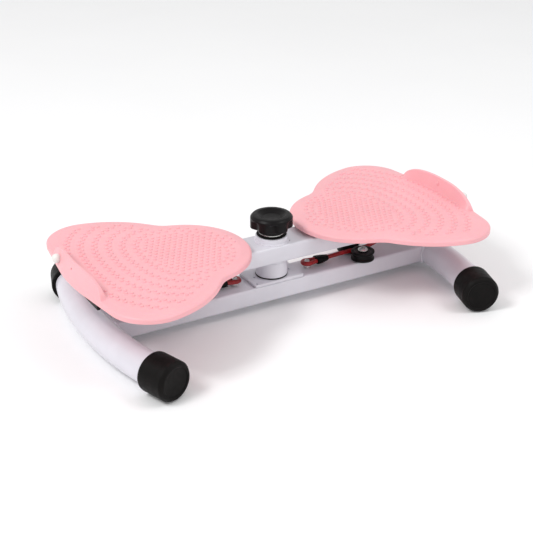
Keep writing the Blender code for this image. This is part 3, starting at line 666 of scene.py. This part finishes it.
def pan_screw(name, x, y, head_z, head_r, head_h, shank_r, shank_z, body, up=True, collar=None):
    """Domed cross-head screw with its shank; the head faces up or down."""
    sign = 1 if up else -1
    profile = [(0.0002, shank_z, 0), (shank_r - 0.0004, shank_z, 0.0002),
               (shank_r, shank_z + sign * 0.0006, 0.0002)]
    if collar:
        profile += collar
    profile += [(shank_r, head_z, 0.0001), (head_r, head_z, 0.0003),
                (head_r, head_z + sign * head_h * 0.42, head_h * 0.5),
                (head_r * 0.62, head_z + sign * head_h, head_h * 0.8),
                (0.0002, head_z + sign * head_h, 0)]
    skin = Skin().lathe(rounded(profile, 5), (x, y, 0), 48)
    obj = piece(name, skin, STEEL, body, 34)
    cut(obj, cross_recess(x, y, head_z + sign * head_h, head_r * 0.58, head_h * 0.62, sign), 34)


# ------------------------------ pivot and swing beam
def bored_lathe(name, corners, look, body, segments=96, steps=6, centre=(0, 0, 0)):
    """Ring turned from closed (radius, z, corner radius) points."""
    profile = rounded([corners[-1], *corners, corners[0]], steps)[1:-1]
    skin = Skin().lathe(profile, centre, segments, ring=True)
    piece(name, skin, look, body, 34)


def plain_ring(name, inner, outer, edges, look, body, segments=96):
    """Four-cornered ring at a node's own height; edges round it from the low bore corner."""
    z0, z1 = span(name, 2)
    spots = ((inner, z0), (outer, z0), (outer, z1), (inner, z1))
    bored_lathe(name, [(r, z, e) for (r, z), e in zip(spots, edges)], look, body, segments)


def build_pivot():
    bolt_low, bolt_top = span("pivot_bolt", 2)
    loops = hex_prism_loops(0.018, bolt_low, BASE_Z0 - GAP)
    for radius, z in rounded(((BOLT_R, BASE_Z0 - GAP, 0), (BOLT_R, bolt_top - 0.001, 0.0003),
                              (BOLT_R - 0.001, bolt_top, 0.0002), (0.0003, bolt_top, 0)), 3):
        loops.append(round_to_hex([(x, y, z) for x, y in circle(radius, 48)]))
    piece("pivot_bolt", Skin().loft(loops), STEEL, "base", 30)

    plain_ring("thrust_washer", BOLT_R + 0.0003, span("thrust_washer", 0)[1],
               (0.0002, 0.0003, 0.0003, 0.0002), NYLON, "base")
    inner = HUB_R - 0.003
    plain_ring("hub_tube", inner, HUB_R, (0.0003, 0.0004, 0.0006, 0.0004), PAINT, "swing", 128)
    for name in ("hub_bush_lower", "hub_bush_upper"):
        plain_ring(name, BOLT_R + 0.0001, inner - 0.0002, [0.0003] * 4, NYLON, "swing", 64)
    plain_ring("base_spacer_tube", BOLT_R + 0.0002, 0.0095, (0.0003, 0.0004, 0.0004, 0.0003),
               STEEL, "base", 64)
    for name, z in (("hub_weld_upper", SWING_Z1 + WELD_STANDOFF),
                    ("hub_weld_lower", SWING_Z0 - WELD_STANDOFF)):
        ring = [(x, y, z) for x, y in circle(HUB_R + WELD_STANDOFF, 160)]
        weld_bead(name, ring, HUB_WELD_R, "swing", 0.0030)


def build_swing():
    beam = piece("swing_beam", box_tube(SWING_HALF, SWING_Z0), PAINT, "swing")
    low, high = SWING_Z0 - OVERRUN, SWING_Z1 + OVERRUN
    mid = (SWING_Z0 + SWING_Z1) / 2
    cut_holes(beam, [(0, 0, HUB_R - 0.0006, low, high),
                     (0.0204, -0.0142, 0.0012, mid, high),
                     (-FAR_X, 0, ANCHOR_R + BORE_PLAY, low, mid),
                     (FAR_X, 0, ANCHOR_R + BORE_PLAY, low, mid)])
    for label, side in SIDES:
        build_plug("swing_end_plug_" + label, side)


def build_plug(name, side):
    """Push-in end plug: a flange with eased edges and a hollow spigot."""
    zc = (SWING_Z0 + SWING_Z1) / 2
    x0 = SWING_HALF + GAP
    stations = [(PLUG_END, 0.0017), (PLUG_END - 0.0003, 0.0008), (PLUG_END - 0.0008, 0.0002),
                (PLUG_END - 0.0014, 0.0), (x0 + 0.0003, 0.0), (x0, 0.0003)]
    cut_in = BEAM_WALL + GAP
    loops = []
    for x, inset in stations:
        trim = 2 * (PLUG_LIP - inset)
        section = rounded_rect(BEAM_W + trim, BEAM_H + trim, PLUG_CORNER - inset / 2)
        loops.append([(side * x, y, zc + z) for y, z in section])
    for x, inset in ((x0, cut_in), (x0 - SPIGOT_DEPTH, cut_in),
                     (x0 - SPIGOT_DEPTH, cut_in + SPIGOT_WALL),
                     (x0 + 0.0006, cut_in + SPIGOT_WALL)):
        section = rounded_rect(BEAM_W - 2 * inset, BEAM_H - 2 * inset, 0.0012)
        loops.append([(side * x, y, zc + z) for y, z in section])
    piece(name, Skin().loft(loops), PLASTIC, "swing")


def build_stack():
    """Washers and ring between the hub and the knob."""
    for name, look, body, edge in (
            ("hub_rubber_washer", RUBBER, "swing", 0.0009),
            ("clamp_washer", STEEL, "base", 0.0006),
            ("knob_ring", NYLON, "knob", 0.0008)):
        plain_ring(name, BOLT_R + 0.0003, span(name, 0)[1], (0.0003, edge, edge, 0.0003),
                   look, body)


def build_knob():
    """Six-lobed clamp knob: scoops in the side only, round top edge and a shallow dish."""
    def lobed(radius, depth, segments=240):
        loop = []
        for i in range(segments):
            a = TAU * i / segments
            wave = (0.5 - 0.5 * math.cos(KNOB_LOBES * a)) ** 1.6
            r = radius - depth * wave
            loop.append((r * math.cos(a + KNOB_PHASE), r * math.sin(a + KNOB_PHASE)))
        return loop

    top = KNOB_TOP
    roof = span("pivot_bolt", 2)[1] + 0.0008
    pocket = KNOB_Z0 + 0.0092
    low = KNOB_SKIRT_Z
    sections = rounded((
        (0.0002, roof, 0), (0.0066, roof, 0.0003), (0.0066, pocket, 0.0003),
        (0.0107, pocket, 0.0003), (0.0107, KNOB_Z0, 0.0004),
        (KNOB_COLLAR_R, KNOB_Z0, 0.0008), (KNOB_COLLAR_R, low + 0.0022, 0.0006),
        (KNOB_R - 0.0036, low + 0.0022, 0.0006), (KNOB_R - 0.0030, low, 0.0005),
        (KNOB_R, low, 0.0012), (KNOB_R, top - 0.0085, 0.003), (KNOB_R, top - 0.0040, 0.0030),
        (KNOB_R - 0.0030, top - 0.0006, 0.0034), (KNOB_R - 0.0086, top + 0.0004, 0.0036),
        (KNOB_R - 0.0120, top - 0.0018, 0.003), (KNOB_R - 0.0170, top - 0.0046, 0.003),
        (0.0002, top - 0.0052, 0)), 7)
    loops = []
    for radius, z in sections:
        reach = smoothstep((radius - KNOB_COLLAR_R - 0.001) / 0.006)
        fade = 1.0 - smoothstep((z - (top - 0.0092)) / 0.0054)
        loops.append([(x, y, min(z, top)) for x, y in
                      lobed(radius, KNOB_LOBE_DEPTH * reach * fade)])
    piece("clamp_knob", Skin().loft(loops), PLASTIC, "knob", 50)
    z0, z1 = span("knob_insert", 2)
    hex_nut("knob_insert", 0, 0, 0.0182, BOLT_R + 0.0001, z0, z1, "knob", BRASS)


# ------------------------------ pulleys and ropes
def build_pulleys():
    h = PULLEY_H
    for side_name, side in SIDES:
        for row_name, row in (("front", -1), ("rear", 1)):
            x, y = side * PULLEY_X, row * PULLEY_Y
            label = "%s_%s" % (row_name, side_name)
            corners = ((PULLEY_BORE_R, -0.0013, 0.0002), (0.0062, -0.0013, 0.0003),
                       (0.0062, 0, 0.0003),
                       (PULLEY_R, 0, 0.0008), (PULLEY_R, 0.0023, 0.0007),
                       (PULLEY_WAIST_R, h / 2 - 0.0018, 0.0014),
                       (PULLEY_WAIST_R, h / 2 + 0.0018, 0.0014),
                       (PULLEY_R, h - 0.0023, 0.0007), (PULLEY_R, h, 0.0009),
                       (PULLEY_R - 0.0046, h, 0.0004), (PULLEY_R - 0.0052, h - 0.0007, 0.0004),
                       (0.0072, h - 0.0007, 0.0003), (0.0070, h, 0.0003),
                       (PULLEY_BORE_R, h, 0.0002))
            bored_lathe("guide_pulley_" + label, corners, PLASTIC, "roller_" + label, 80, 5,
                        (x, y, PULLEY_Z))
            head = PULLEY_Z + h + GAP
            pan_screw("pulley_bolt_" + label, x, y, head, 0.0072, 0.0038, PULLEY_BOLT_R,
                      NUT_Z1 - NUT_T - 0.0012, "base")
            hex_nut("pulley_nut_" + label, x, y, 0.0088, NUT_BORE_R,
                    NUT_Z1 - NUT_T, NUT_Z1, "base")


def hook(x, z, start):
    """Loop of rope round an anchor, from a start angle in degrees."""
    points = []
    for k in range(13):
        a = math.radians(start) - k * math.radians(236) / 12
        points.append((x + LOOP_R * math.cos(a), LOOP_R * math.sin(a), z))
    return points


def rope_path(side):
    """Short tail, loop round the base anchor, run between the pulleys, loop at the beam."""
    near = ANCHOR_X + SLEEVE_NEAR
    far = FAR_X - SLEEVE_NEAR
    tail = 0.40 * SLEEVE_LEN
    points = [(near + tail * (1 - k / 2), -STRAND_Y, ROPE_BASE_Z) for k in range(3)]
    points += hook(ANCHOR_X, ROPE_BASE_Z, -62)
    points += [(near, STRAND_Y, ROPE_BASE_Z),
               (near + 0.45 * SLEEVE_LEN, STRAND_Y, ROPE_BASE_Z),
               (near + SLEEVE_LEN, 0.0003, ROPE_BASE_Z),
               (near + SLEEVE_LEN + 0.012, 0.0, ROPE_BASE_Z + 0.0006),
               (PULLEY_X - 0.012, 0.0, ROPE_Z),
               (PULLEY_X + 0.008, 0.0, ROPE_Z),
               (PULLEY_X + 0.022, 0.0, ROPE_Z + 0.0012),
               (far - SLEEVE_LEN - 0.012, 0.0, FAR_Z - 0.0022),
               (far - SLEEVE_LEN, 0.0003, FAR_Z),
               (far - 0.45 * SLEEVE_LEN, STRAND_Y, FAR_Z),
               (far, STRAND_Y, FAR_Z)]
    points += hook(FAR_X, FAR_Z, 180 - 62)
    points += [(far - tail * k / 2, -STRAND_Y, FAR_Z) for k in range(3)]
    return [(side * x, side * y, z) for x, y, z in points]


def smooth_path(points, steps=6):
    """Smooth curve through the points, each tangent taken from its two neighbours."""
    pts = [Vector(p) for p in points]
    pts = [pts[0] * 2 - pts[1]] + pts + [pts[-1] * 2 - pts[-2]]
    out = []
    for a, b, c, d in zip(pts[:-3], pts[1:-2], pts[2:-1], pts[3:]):
        scale = (c - b).length
        m1 = (c - a) / max(1e-9, (c - b).length + (b - a).length) * scale
        m2 = (d - b) / max(1e-9, (d - c).length + (c - b).length) * scale
        for k in range(steps):
            t = k / steps
            out.append(b * (2 * t ** 3 - 3 * t ** 2 + 1) + m1 * (t ** 3 - 2 * t ** 2 + t)
                       + c * (-2 * t ** 3 + 3 * t ** 2) + m2 * (t ** 3 - t ** 2))
    out.append(pts[-2])
    return out


def build_rope(label, side):
    path = smooth_path(rope_path(side))
    radii = [ROPE_R] * len(path)
    radii[0] = radii[-1] = ROPE_R - 0.0006
    rope = piece("resistance_rope_" + label, Skin().tube(path, radii, 24), LATEX, None, 60)
    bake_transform(rope)
    for end, body, near, far, z in (
            ("base", "base", ANCHOR_X + SLEEVE_NEAR, ANCHOR_X + SLEEVE_NEAR + SLEEVE_LEN,
             ROPE_BASE_Z),
            ("beam", "swing", FAR_X - SLEEVE_NEAR, FAR_X - SLEEVE_NEAR - SLEEVE_LEN, FAR_Z)):
        build_sleeve("rope_sleeve_%s_%s" % (end, label), side, near, far, z, body)


def build_sleeve(name, side, near, far, z, body):
    """Shrunk rubber boot: oval over both strands, tapering onto the single one."""
    stations = ((0.00, 0.0079, 0.0046), (0.02, 0.0086, 0.0052), (0.12, 0.0087, 0.0053),
                (0.32, 0.0085, 0.0051), (0.52, 0.0077, 0.0048), (0.70, 0.0065, 0.0045),
                (0.85, 0.0054, 0.0042), (0.97, 0.0047, 0.0040), (1.00, 0.0041, 0.0036))
    loops = []
    for t, a, b in stations:
        x = near + (far - near) * t
        loop = []
        for q in np.linspace(0, TAU, 40, endpoint=False):
            c, s = math.cos(q), math.sin(q)
            y = a * math.copysign(abs(c) ** 0.8, c)
            loop.append((side * x, side * y, z + b * math.copysign(abs(s) ** 0.9, s)))
        loops.append(loop)
    piece(name, Skin().loft(loops), RUBBER, body, 50)


def build_anchors():
    low = ROPE_BASE_Z - ROPE_R - 0.0004
    high = ROPE_BASE_Z + 0.0018
    beam_low = FAR_Z - 0.0018
    beam_high = FAR_Z + ROPE_R + 0.0004
    for label, side in SIDES:
        foot = BASE_Z1 + GAP
        collar = [(ANCHOR_R, foot, 0.0001), (0.0060, foot, 0.0003), (0.0060, low, 0.0003),
                  (ANCHOR_R, low, 0.0002)]
        pan_screw("rope_anchor_base_" + label, side * ANCHOR_X, 0, high, 0.0038, 0.0024,
                  ANCHOR_R, NUT_Z1 - NUT_T - 0.0012, "base", True, collar)
        hex_nut("rope_anchor_nut_" + label, side * ANCHOR_X, 0, 0.010, NUT_BORE_R,
                NUT_Z1 - NUT_T, NUT_Z1, "base")
        collar = [(ANCHOR_R, SWING_Z0 - GAP, 0.0001), (0.0060, SWING_Z0 - GAP, 0.0003),
                  (0.0060, beam_high, 0.0003), (ANCHOR_R, beam_high, 0.0002)]
        pan_screw("rope_anchor_beam_" + label, side * FAR_X, 0, beam_low, 0.0038, 0.0024,
                  ANCHOR_R, SWING_Z0 + 0.0085, "swing", False, collar)


# ------------------------------ foot plates
def pedal_outline(count):
    """Closed plan outline: tangent arcs at the corners, smoothed where two arcs meet."""
    half = list(PEDAL_CORNERS)
    corners = half + [(x, -y, r) for x, y, r in half[:0:-1]]
    n = len(corners)
    spots = [Vector((x, y)) for x, y, _ in corners]
    toward = [(spots[(i + 1) % n] - spots[i]) for i in range(n)]
    arcs = []
    for i in range(n):
        a = -toward[i - 1].normalized()
        b = toward[i].normalized()
        opening = math.acos(max(-1.0, min(1.0, a.dot(b))))
        arcs.append((a, b, opening, corners[i][2] / math.tan(opening / 2)))
    dense = []
    for i in range(n):
        a, b, opening, reach = arcs[i]
        here, radius = spots[i], corners[i][2]
        # neighbouring arcs that would overlap on their shared tangent stop half way
        back = reach - max(0.0, reach + arcs[i - 1][3] - toward[i - 1].length) / 2
        ahead = reach - max(0.0, reach + arcs[(i + 1) % n][3] - toward[i].length) / 2
        centre = here + (a + b).normalized() * (radius / math.sin(opening / 2))
        start = here + a * reach - centre
        end = here + b * reach - centre
        a0 = math.atan2(start.y, start.x)
        turn = (math.atan2(end.y, end.x) - a0 + math.pi) % TAU - math.pi
        for k in range(97):
            angle = a0 + turn * k / 96
            p = centre + Vector((math.cos(angle), math.sin(angle))) * radius
            if (p - here).dot(a) <= back + 1e-6 and (p - here).dot(b) <= ahead + 1e-6:
                dense.append(p)
    dense.append(dense[0].copy())
    steps = [0.0]
    for p, q in zip(dense[:-1], dense[1:]):
        steps.append(steps[-1] + (q - p).length)
    where = np.linspace(0, steps[-1], count, endpoint=False)
    loop = np.stack([np.interp(where, steps, [p.x for p in dense]),
                     np.interp(where, steps, [p.y for p in dense])], 1)
    for _ in range(12):
        loop = (np.roll(loop, 1, 0) + 2 * loop + np.roll(loop, -1, 0)) / 4
    return loop


def inward(points):
    tangent = np.roll(points, -1, 0) - np.roll(points, 1, 0)
    tangent /= np.linalg.norm(tangent, axis=1)[:, None]
    return np.stack([-tangent[:, 1], tangent[:, 0]], 1)


def flap_weight(x, y):
    """0 on the plain rim, 1 at the middle of the side stop, steep at its ends."""
    if x < 0.24 or abs(y) >= FLAP_HALF:
        return 0.0
    return (1.0 - (abs(y) / FLAP_HALF) ** 3.5) ** 0.58


CEILING = FIELD_Z - 0.0034
RIM_CORNERS = (
    (0.0040, CEILING, 0), (0.0034, PEDAL_Z0, 0.0005), (0.0, PEDAL_Z0, 0.0006),
    (0.0, 0.1050, 0.0022), (0.0022, 0.1066, 0.0022), (0.0090, 0.1074, 0.0040),
    (0.0138, FIELD_Z, 0.0030), (0.0150, FIELD_Z, 0))
FLAP_CORNERS = (
    (0.0040, CEILING, 0), (0.0034, PEDAL_Z0, 0.0005), (0.0, PEDAL_Z0, 0.0006),
    (0.0008, 0.1080, 0.0060), (FLAP_LEAN, FLAP_TOP, 0.0015),
    (FLAP_LEAN + FLAP_T - 0.0004, FLAP_TOP - 0.0006, 0.0015),
    (0.0120, FIELD_Z, 0.0030), (0.0136, FIELD_Z, 0))


def inside_distance(points, outline):
    """Distance from each point to the outline, negative outside."""
    a = outline
    b = np.roll(outline, -1, 0)
    d = b - a
    out = []
    for p in points:
        t = np.clip(((p - a) * d).sum(1) / (d * d).sum(1), 0, 1)
        gap = np.linalg.norm(p - (a + d * t[:, None]), axis=1).min()
        side = ((a[:, 1] > p[1]) != (b[:, 1] > p[1]))
        cross = a[:, 0] + (p[1] - a[:, 1]) / np.where(d[:, 1] == 0, 1e-12, d[:, 1]) * d[:, 0]
        inside = (side & (p[0] < cross)).sum() % 2 == 1
        out.append(gap if inside else -gap)
    return np.array(out)


def nub_places(field):
    """Nubs in zigzag double rows round one centre, with an even spread in the middle."""
    places = []
    for k in range(-2, 5):
        outer = 0.1190 - 0.0175 * k
        across = outer + 0.022
        inner = 0.0980 - 0.0164 * (k - 2)
        ring = []
        for q in np.linspace(-math.pi, math.pi, 1441):
            c, s = math.cos(q), math.sin(q)
            reach = outer if c > 0 else inner
            power = 2.5 if c > 0 else 2.15
            r = (abs(c / reach) ** power + abs(s / across) ** power) ** (-1 / power)
            ring.append((NUB_CENTRE_X + r * c, r * s))
        ring = np.array(ring)
        gaps = np.linalg.norm(np.diff(ring, axis=0), axis=1)
        along = np.concatenate([[0], np.cumsum(gaps)])
        count = 2 * int(round(along[-1] / NUB_STEP))
        centre = along[len(along) // 2]
        for i in range(count):
            s = centre + (i - count / 2 + 0.5) * along[-1] / count
            x, y = (np.interp(s, along, ring[:, j]) for j in (0, 1))
            x2, y2 = (np.interp(s + 0.001, along, ring[:, j]) for j in (0, 1))
            nx, ny = (y2 - y) / 0.001, -(x2 - x) / 0.001
            wide = 0.0021 + 0.0020 * smoothstep((0.185 - x) / 0.07)
            shift = wide * (1 if i % 2 else -1)
            places.append((x + nx * shift, y + ny * shift))
    for row in range(-9, 10):
        for col in range(-9, 10):
            x, y = NUB_GRID[0] * (col + 0.5 * (row % 2)), NUB_GRID[1] * row
            reach = 0.0490 if x > 0 else 0.0652
            if (abs(x) / (reach - 0.008)) ** 2.3 + (abs(y) / 0.062) ** 2.3 < 1:
                places.append((NUB_CENTRE_X + x, y))
    places = np.array(places)
    places = places[inside_distance(places, field) > NUB_R + 0.0002]
    keep = []
    for p in places:
        if all((p[0] - q[0]) ** 2 + (p[1] - q[1]) ** 2 > NUB_GAP ** 2 for q in keep):
            keep.append(p)
    return keep


def pedal_shell(outline):
    """Rim, side stop and underside as one open skin; its last loop borders the field."""
    weights = [flap_weight(*p) for p in outline]
    normal = inward(outline)
    loops = []
    for (ri, rz), (fi, fz) in zip(rounded(RIM_CORNERS, 5), rounded(FLAP_CORNERS, 5)):
        loops.append([(p[0] + n[0] * (ri + (fi - ri) * w), p[1] + n[1] * (ri + (fi - ri) * w),
                       rz + (fz - rz) * w) for p, n, w in zip(outline, normal, weights)])
    return Skin().loft(loops, caps=(True, False)), np.array([p[:2] for p in loops[-1]])


def add_field(skin, field):
    """Triangulate the field round its nubs, so that nubs and field are one surface."""
    border = len(skin.points) - len(field)
    plan = [Vector(p) for p in field]
    edges = [(i, (i + 1) % len(field)) for i in range(len(field))]
    places = nub_places(field)
    starts = []
    for x, y in places:
        first = len(plan)
        starts.append(first)
        plan += [Vector(p) for p in circle(NUB_R, NUB_SIDES, (x, y))]
        edges += [(first + i, first + (i + 1) % NUB_SIDES) for i in range(NUB_SIDES)]
    verts, _, faces, origins, _, _ = geometry.delaunay_2d_cdt(plan, edges, [], 1, 1e-7)
    index = {o: new for new, old in enumerate(origins) for o in old}
    lookup = {}
    for new, v in enumerate(verts):
        olds = origins[new]
        if olds and olds[0] < len(field):
            lookup[new] = border + olds[0]
        else:
            lookup[new] = len(skin.points)
            skin.points.append((v.x, v.y, FIELD_Z))
    feet = [[index[first + i] for i in range(NUB_SIDES)] for first in starts]
    owner = {i: number for number, foot in enumerate(feet) for i in foot}
    for face in faces:
        # faces with every corner on one nub's foot are left open for the nub
        if len({owner.get(i) for i in face}) > 1 or face[0] not in owner:
            skin.faces.append(tuple(lookup[i] for i in face))
    for foot, place in zip(feet, places):
        add_nub(skin, [lookup[i] for i in foot], place)


def add_nub(skin, foot, place):
    """Rounded nub standing on its foot, a ring of points already in the field."""
    last = foot
    for scale, height in NUB_PROFILE:
        ring = []
        for x, y in circle(NUB_R * scale, NUB_SIDES, place):
            ring.append(len(skin.points))
            skin.points.append((x, y, FIELD_Z + NUB_H * height))
        for i in range(NUB_SIDES):
            j = (i + 1) % NUB_SIDES
            skin.faces.append((last[i], last[j], ring[j], ring[i]))
        last = ring
    tip = len(skin.points)
    skin.points.append((*place, FIELD_Z + NUB_H))
    for i in range(NUB_SIDES):
        skin.faces.append((last[i], last[(i + 1) % NUB_SIDES], tip))


def placed(skin, side):
    """A copy of the skin, turned half round about Z where side is -1."""
    new = Skin()
    new.points = [(side * p[0], side * p[1], p[2]) for p in skin.points]
    new.faces = list(skin.faces)
    return new


def crossings(outline, axis, value):
    """Where the outline crosses a line of constant x (axis 0) or y (axis 1)."""
    other = 1 - axis
    found = []
    for p, q in zip(outline, np.roll(outline, -1, 0)):
        if (p[axis] - value) * (q[axis] - value) <= 0 and p[axis] != q[axis]:
            step = (q[other] - p[other]) * (value - p[axis]) / (q[axis] - p[axis])
            found.append(p[other] + step)
    return found


def build_ribs(outline):
    """Stiffening ribs and screw bosses under the plate."""
    top = CEILING + 0.0006
    low = PEDAL_Z0 + 0.0002
    thick = 0.0022
    wall = 0.0038
    skin = Skin()

    def box(x0, x1, y0, y1):
        loop = [(x0, y0), (x1, y0), (x1, y1), (x0, y1)]
        skin.loft([[(x, y, z) for x, y in loop] for z in (low, top)])

    for x in (0.080, 0.105, 0.130, 0.160, 0.200, 0.240, 0.262):
        half = max(abs(y) for y in crossings(outline, 0, x)) - wall
        box(x - thick / 2, x + thick / 2, -half, half)
    for y in (-0.115, -0.085, -0.030, 0.0, 0.030, 0.085, 0.115):
        ends = crossings(outline, 1, y)
        box(min(ends) + wall, max(ends) - wall, y - thick / 2, y + thick / 2)
    for sign in (-1, 1):
        skin.lathe(((0.0062, low), (0.0060, top)), (SCREW_X, sign * SCREW_Y, 0), 40)
    return skin


def build_flap_cap():
    """Ball-ended white bumper standing on the outer face near one end of the side stop."""
    start = math.asin(-BUMPER_SEAT / BUMPER_R)
    profile = [(0.0002, -BUMPER_SEAT)]
    profile += [(BUMPER_R * math.cos(a), BUMPER_R * math.sin(a))
                for a in np.linspace(start, math.radians(89), 22)]
    turn = Matrix.Rotation(math.radians(-7), 3, 'Z') @ Matrix.Rotation(math.radians(76), 3, 'Y')
    return Skin().lathe(profile, BUMPER, 64, turn=turn)


def build_pedals():
    outline = pedal_outline(720)
    moulding, field = pedal_shell(outline)
    add_field(moulding, field)
    ribs = build_ribs(outline)
    dimple = Skin().lathe(((0.0016, -0.01), (0.0016, 0.0)), STOP_DIMPLE, 24,
                          turn=Matrix.Rotation(math.radians(-90), 3, 'Y'))
    button = Skin().lathe(rounded(((0.0002, -0.0010, 0), (0.0031, -0.0010, 0),
                                   (0.0030, 0.0006, 0.0006), (0.0022, 0.0021, 0.0016),
                                   (0.0002, 0.0023, 0)), 6), STOP_BUTTON, 40,
                          turn=Matrix.Rotation(math.radians(-90), 3, 'Y'))
    cap = build_flap_cap()
    z0, z1 = span("support_plate_right", 2)
    x0, x1 = span("support_plate_right", 0)
    half = span("support_plate_right", 1)[1]
    mid = (x0 + x1) / 2
    for label, side in SIDES[::-1]:
        pedal = piece("foot_plate_" + label, placed(moulding, side), PINK, "swing", 32)
        cut(pedal, placed(dimple, side), 32)
        piece("side_stop_button_" + label, placed(button, side), PINK, "swing",
              extra=True)
        piece("foot_plate_ribs_" + label, placed(ribs, side), PINK, "swing",
              extra=True)
        piece("side_stop_cap_" + label, placed(cap, side), WHITE, "swing")
        outline_bar = [(mid + x, y) for x, y in rounded_rect(x1 - x0, 2 * half, 0.006, 8)]
        bar = piece("support_plate_" + label,
                    placed(Skin().prism(outline_bar, z0, z1, 0.0004), side), PAINT, "swing")
        cut_holes(bar, [(side * SCREW_X, y, 0.0028, z0 - OVERRUN, z1 + OVERRUN)
                        for y in (-SCREW_Y, SCREW_Y)])
        for row, y in (("front", -SCREW_Y), ("rear", SCREW_Y)):
            pan_screw("foot_plate_screw_%s_%s" % (row, label), side * SCREW_X, y, z0 - GAP,
                      0.0045, 0.0030, 0.0025, z0 + 0.0090, "swing", False)


# ------------------------------ stage, light and camera
WORLD_STRENGTH = 0.74
CAMERA_PLACE = (-0.7480, -1.2923, 0.7668)
CAMERA_YAW, CAMERA_PITCH = 0.5180, 0.4458   # radians right of +Y, and downward
CAMERA_LENS = 80.679175       # mm on a 36 mm sensor
CAMERA_SHIFT = 0.0044


def build_stage():
    """Plain pale floor just under the feet."""
    skin = Skin()
    size = 6.0
    skin.loft([[(-size, -size, z), (size, -size, z), (size, size, z), (-size, size, z)]
               for z in (-0.02, -0.00005)])
    mat = principled("studio_floor", (0.96, 0.96, 0.965), 0.75)
    tint(mat, noise(mat, 3, 2), (0.955, 0.955, 0.96), (0.965, 0.965, 0.97))
    floor = object_from("studio_floor", skin, smooth=False)
    floor.data.materials.append(mat)


def area_light(name, place, target, size, power):
    """Square softbox facing its target; size in metres, power in watts."""
    data = bpy.data.lights.new(name, 'AREA')
    data.size = size
    data.energy = power
    lamp = add_object(name, data)
    lamp.location = place
    lamp.rotation_euler = (Vector(target) - Vector(place)).to_track_quat('-Z', 'Y').to_euler()


def build_light():
    scene = bpy.context.scene
    world = bpy.data.worlds.new("studio_world")
    world.use_nodes = True
    back = world.node_tree.nodes["Background"]
    back.inputs["Color"].default_value = (1.0, 1.0, 1.0, 1)
    back.inputs["Strength"].default_value = WORLD_STRENGTH
    scene.world = world
    area_light("key_softbox", (-2.20, -0.20, 2.60), (0, 0, 0.1), 0.95, 48)
    area_light("edge_softbox", (0.98, -1.0, 1.69), (0, 0, 0.05), 0.8, 8)
    scene.view_settings.view_transform = 'Standard'
    scene.view_settings.look = 'None'
    scene.view_settings.exposure = 0.0
    scene.view_settings.gamma = 1.0


def build_camera():
    """Long-lens view from 1.68 m away, 30 degrees to the left and 25.5 degrees above."""
    yaw, pitch = CAMERA_YAW, CAMERA_PITCH
    data = bpy.data.cameras.new("camera")
    data.sensor_width = 36.0
    data.lens = CAMERA_LENS
    data.shift_x = CAMERA_SHIFT
    data.clip_start, data.clip_end = 0.05, 50
    camera = add_object("camera", data)
    camera.location = CAMERA_PLACE
    ahead = Vector((math.sin(yaw) * math.cos(pitch), math.cos(yaw) * math.cos(pitch),
                    -math.sin(pitch)))
    camera.rotation_euler = ahead.to_track_quat('-Z', 'Y').to_euler()
    bpy.context.scene.camera = camera


build_camera()
build_light()
build_stage()
build_base()
build_pivot()
build_swing()
build_stack()
build_knob()
build_pulleys()
build_anchors()
for rope_label, rope_side in SIDES:
    build_rope(rope_label, rope_side)
build_pedals()
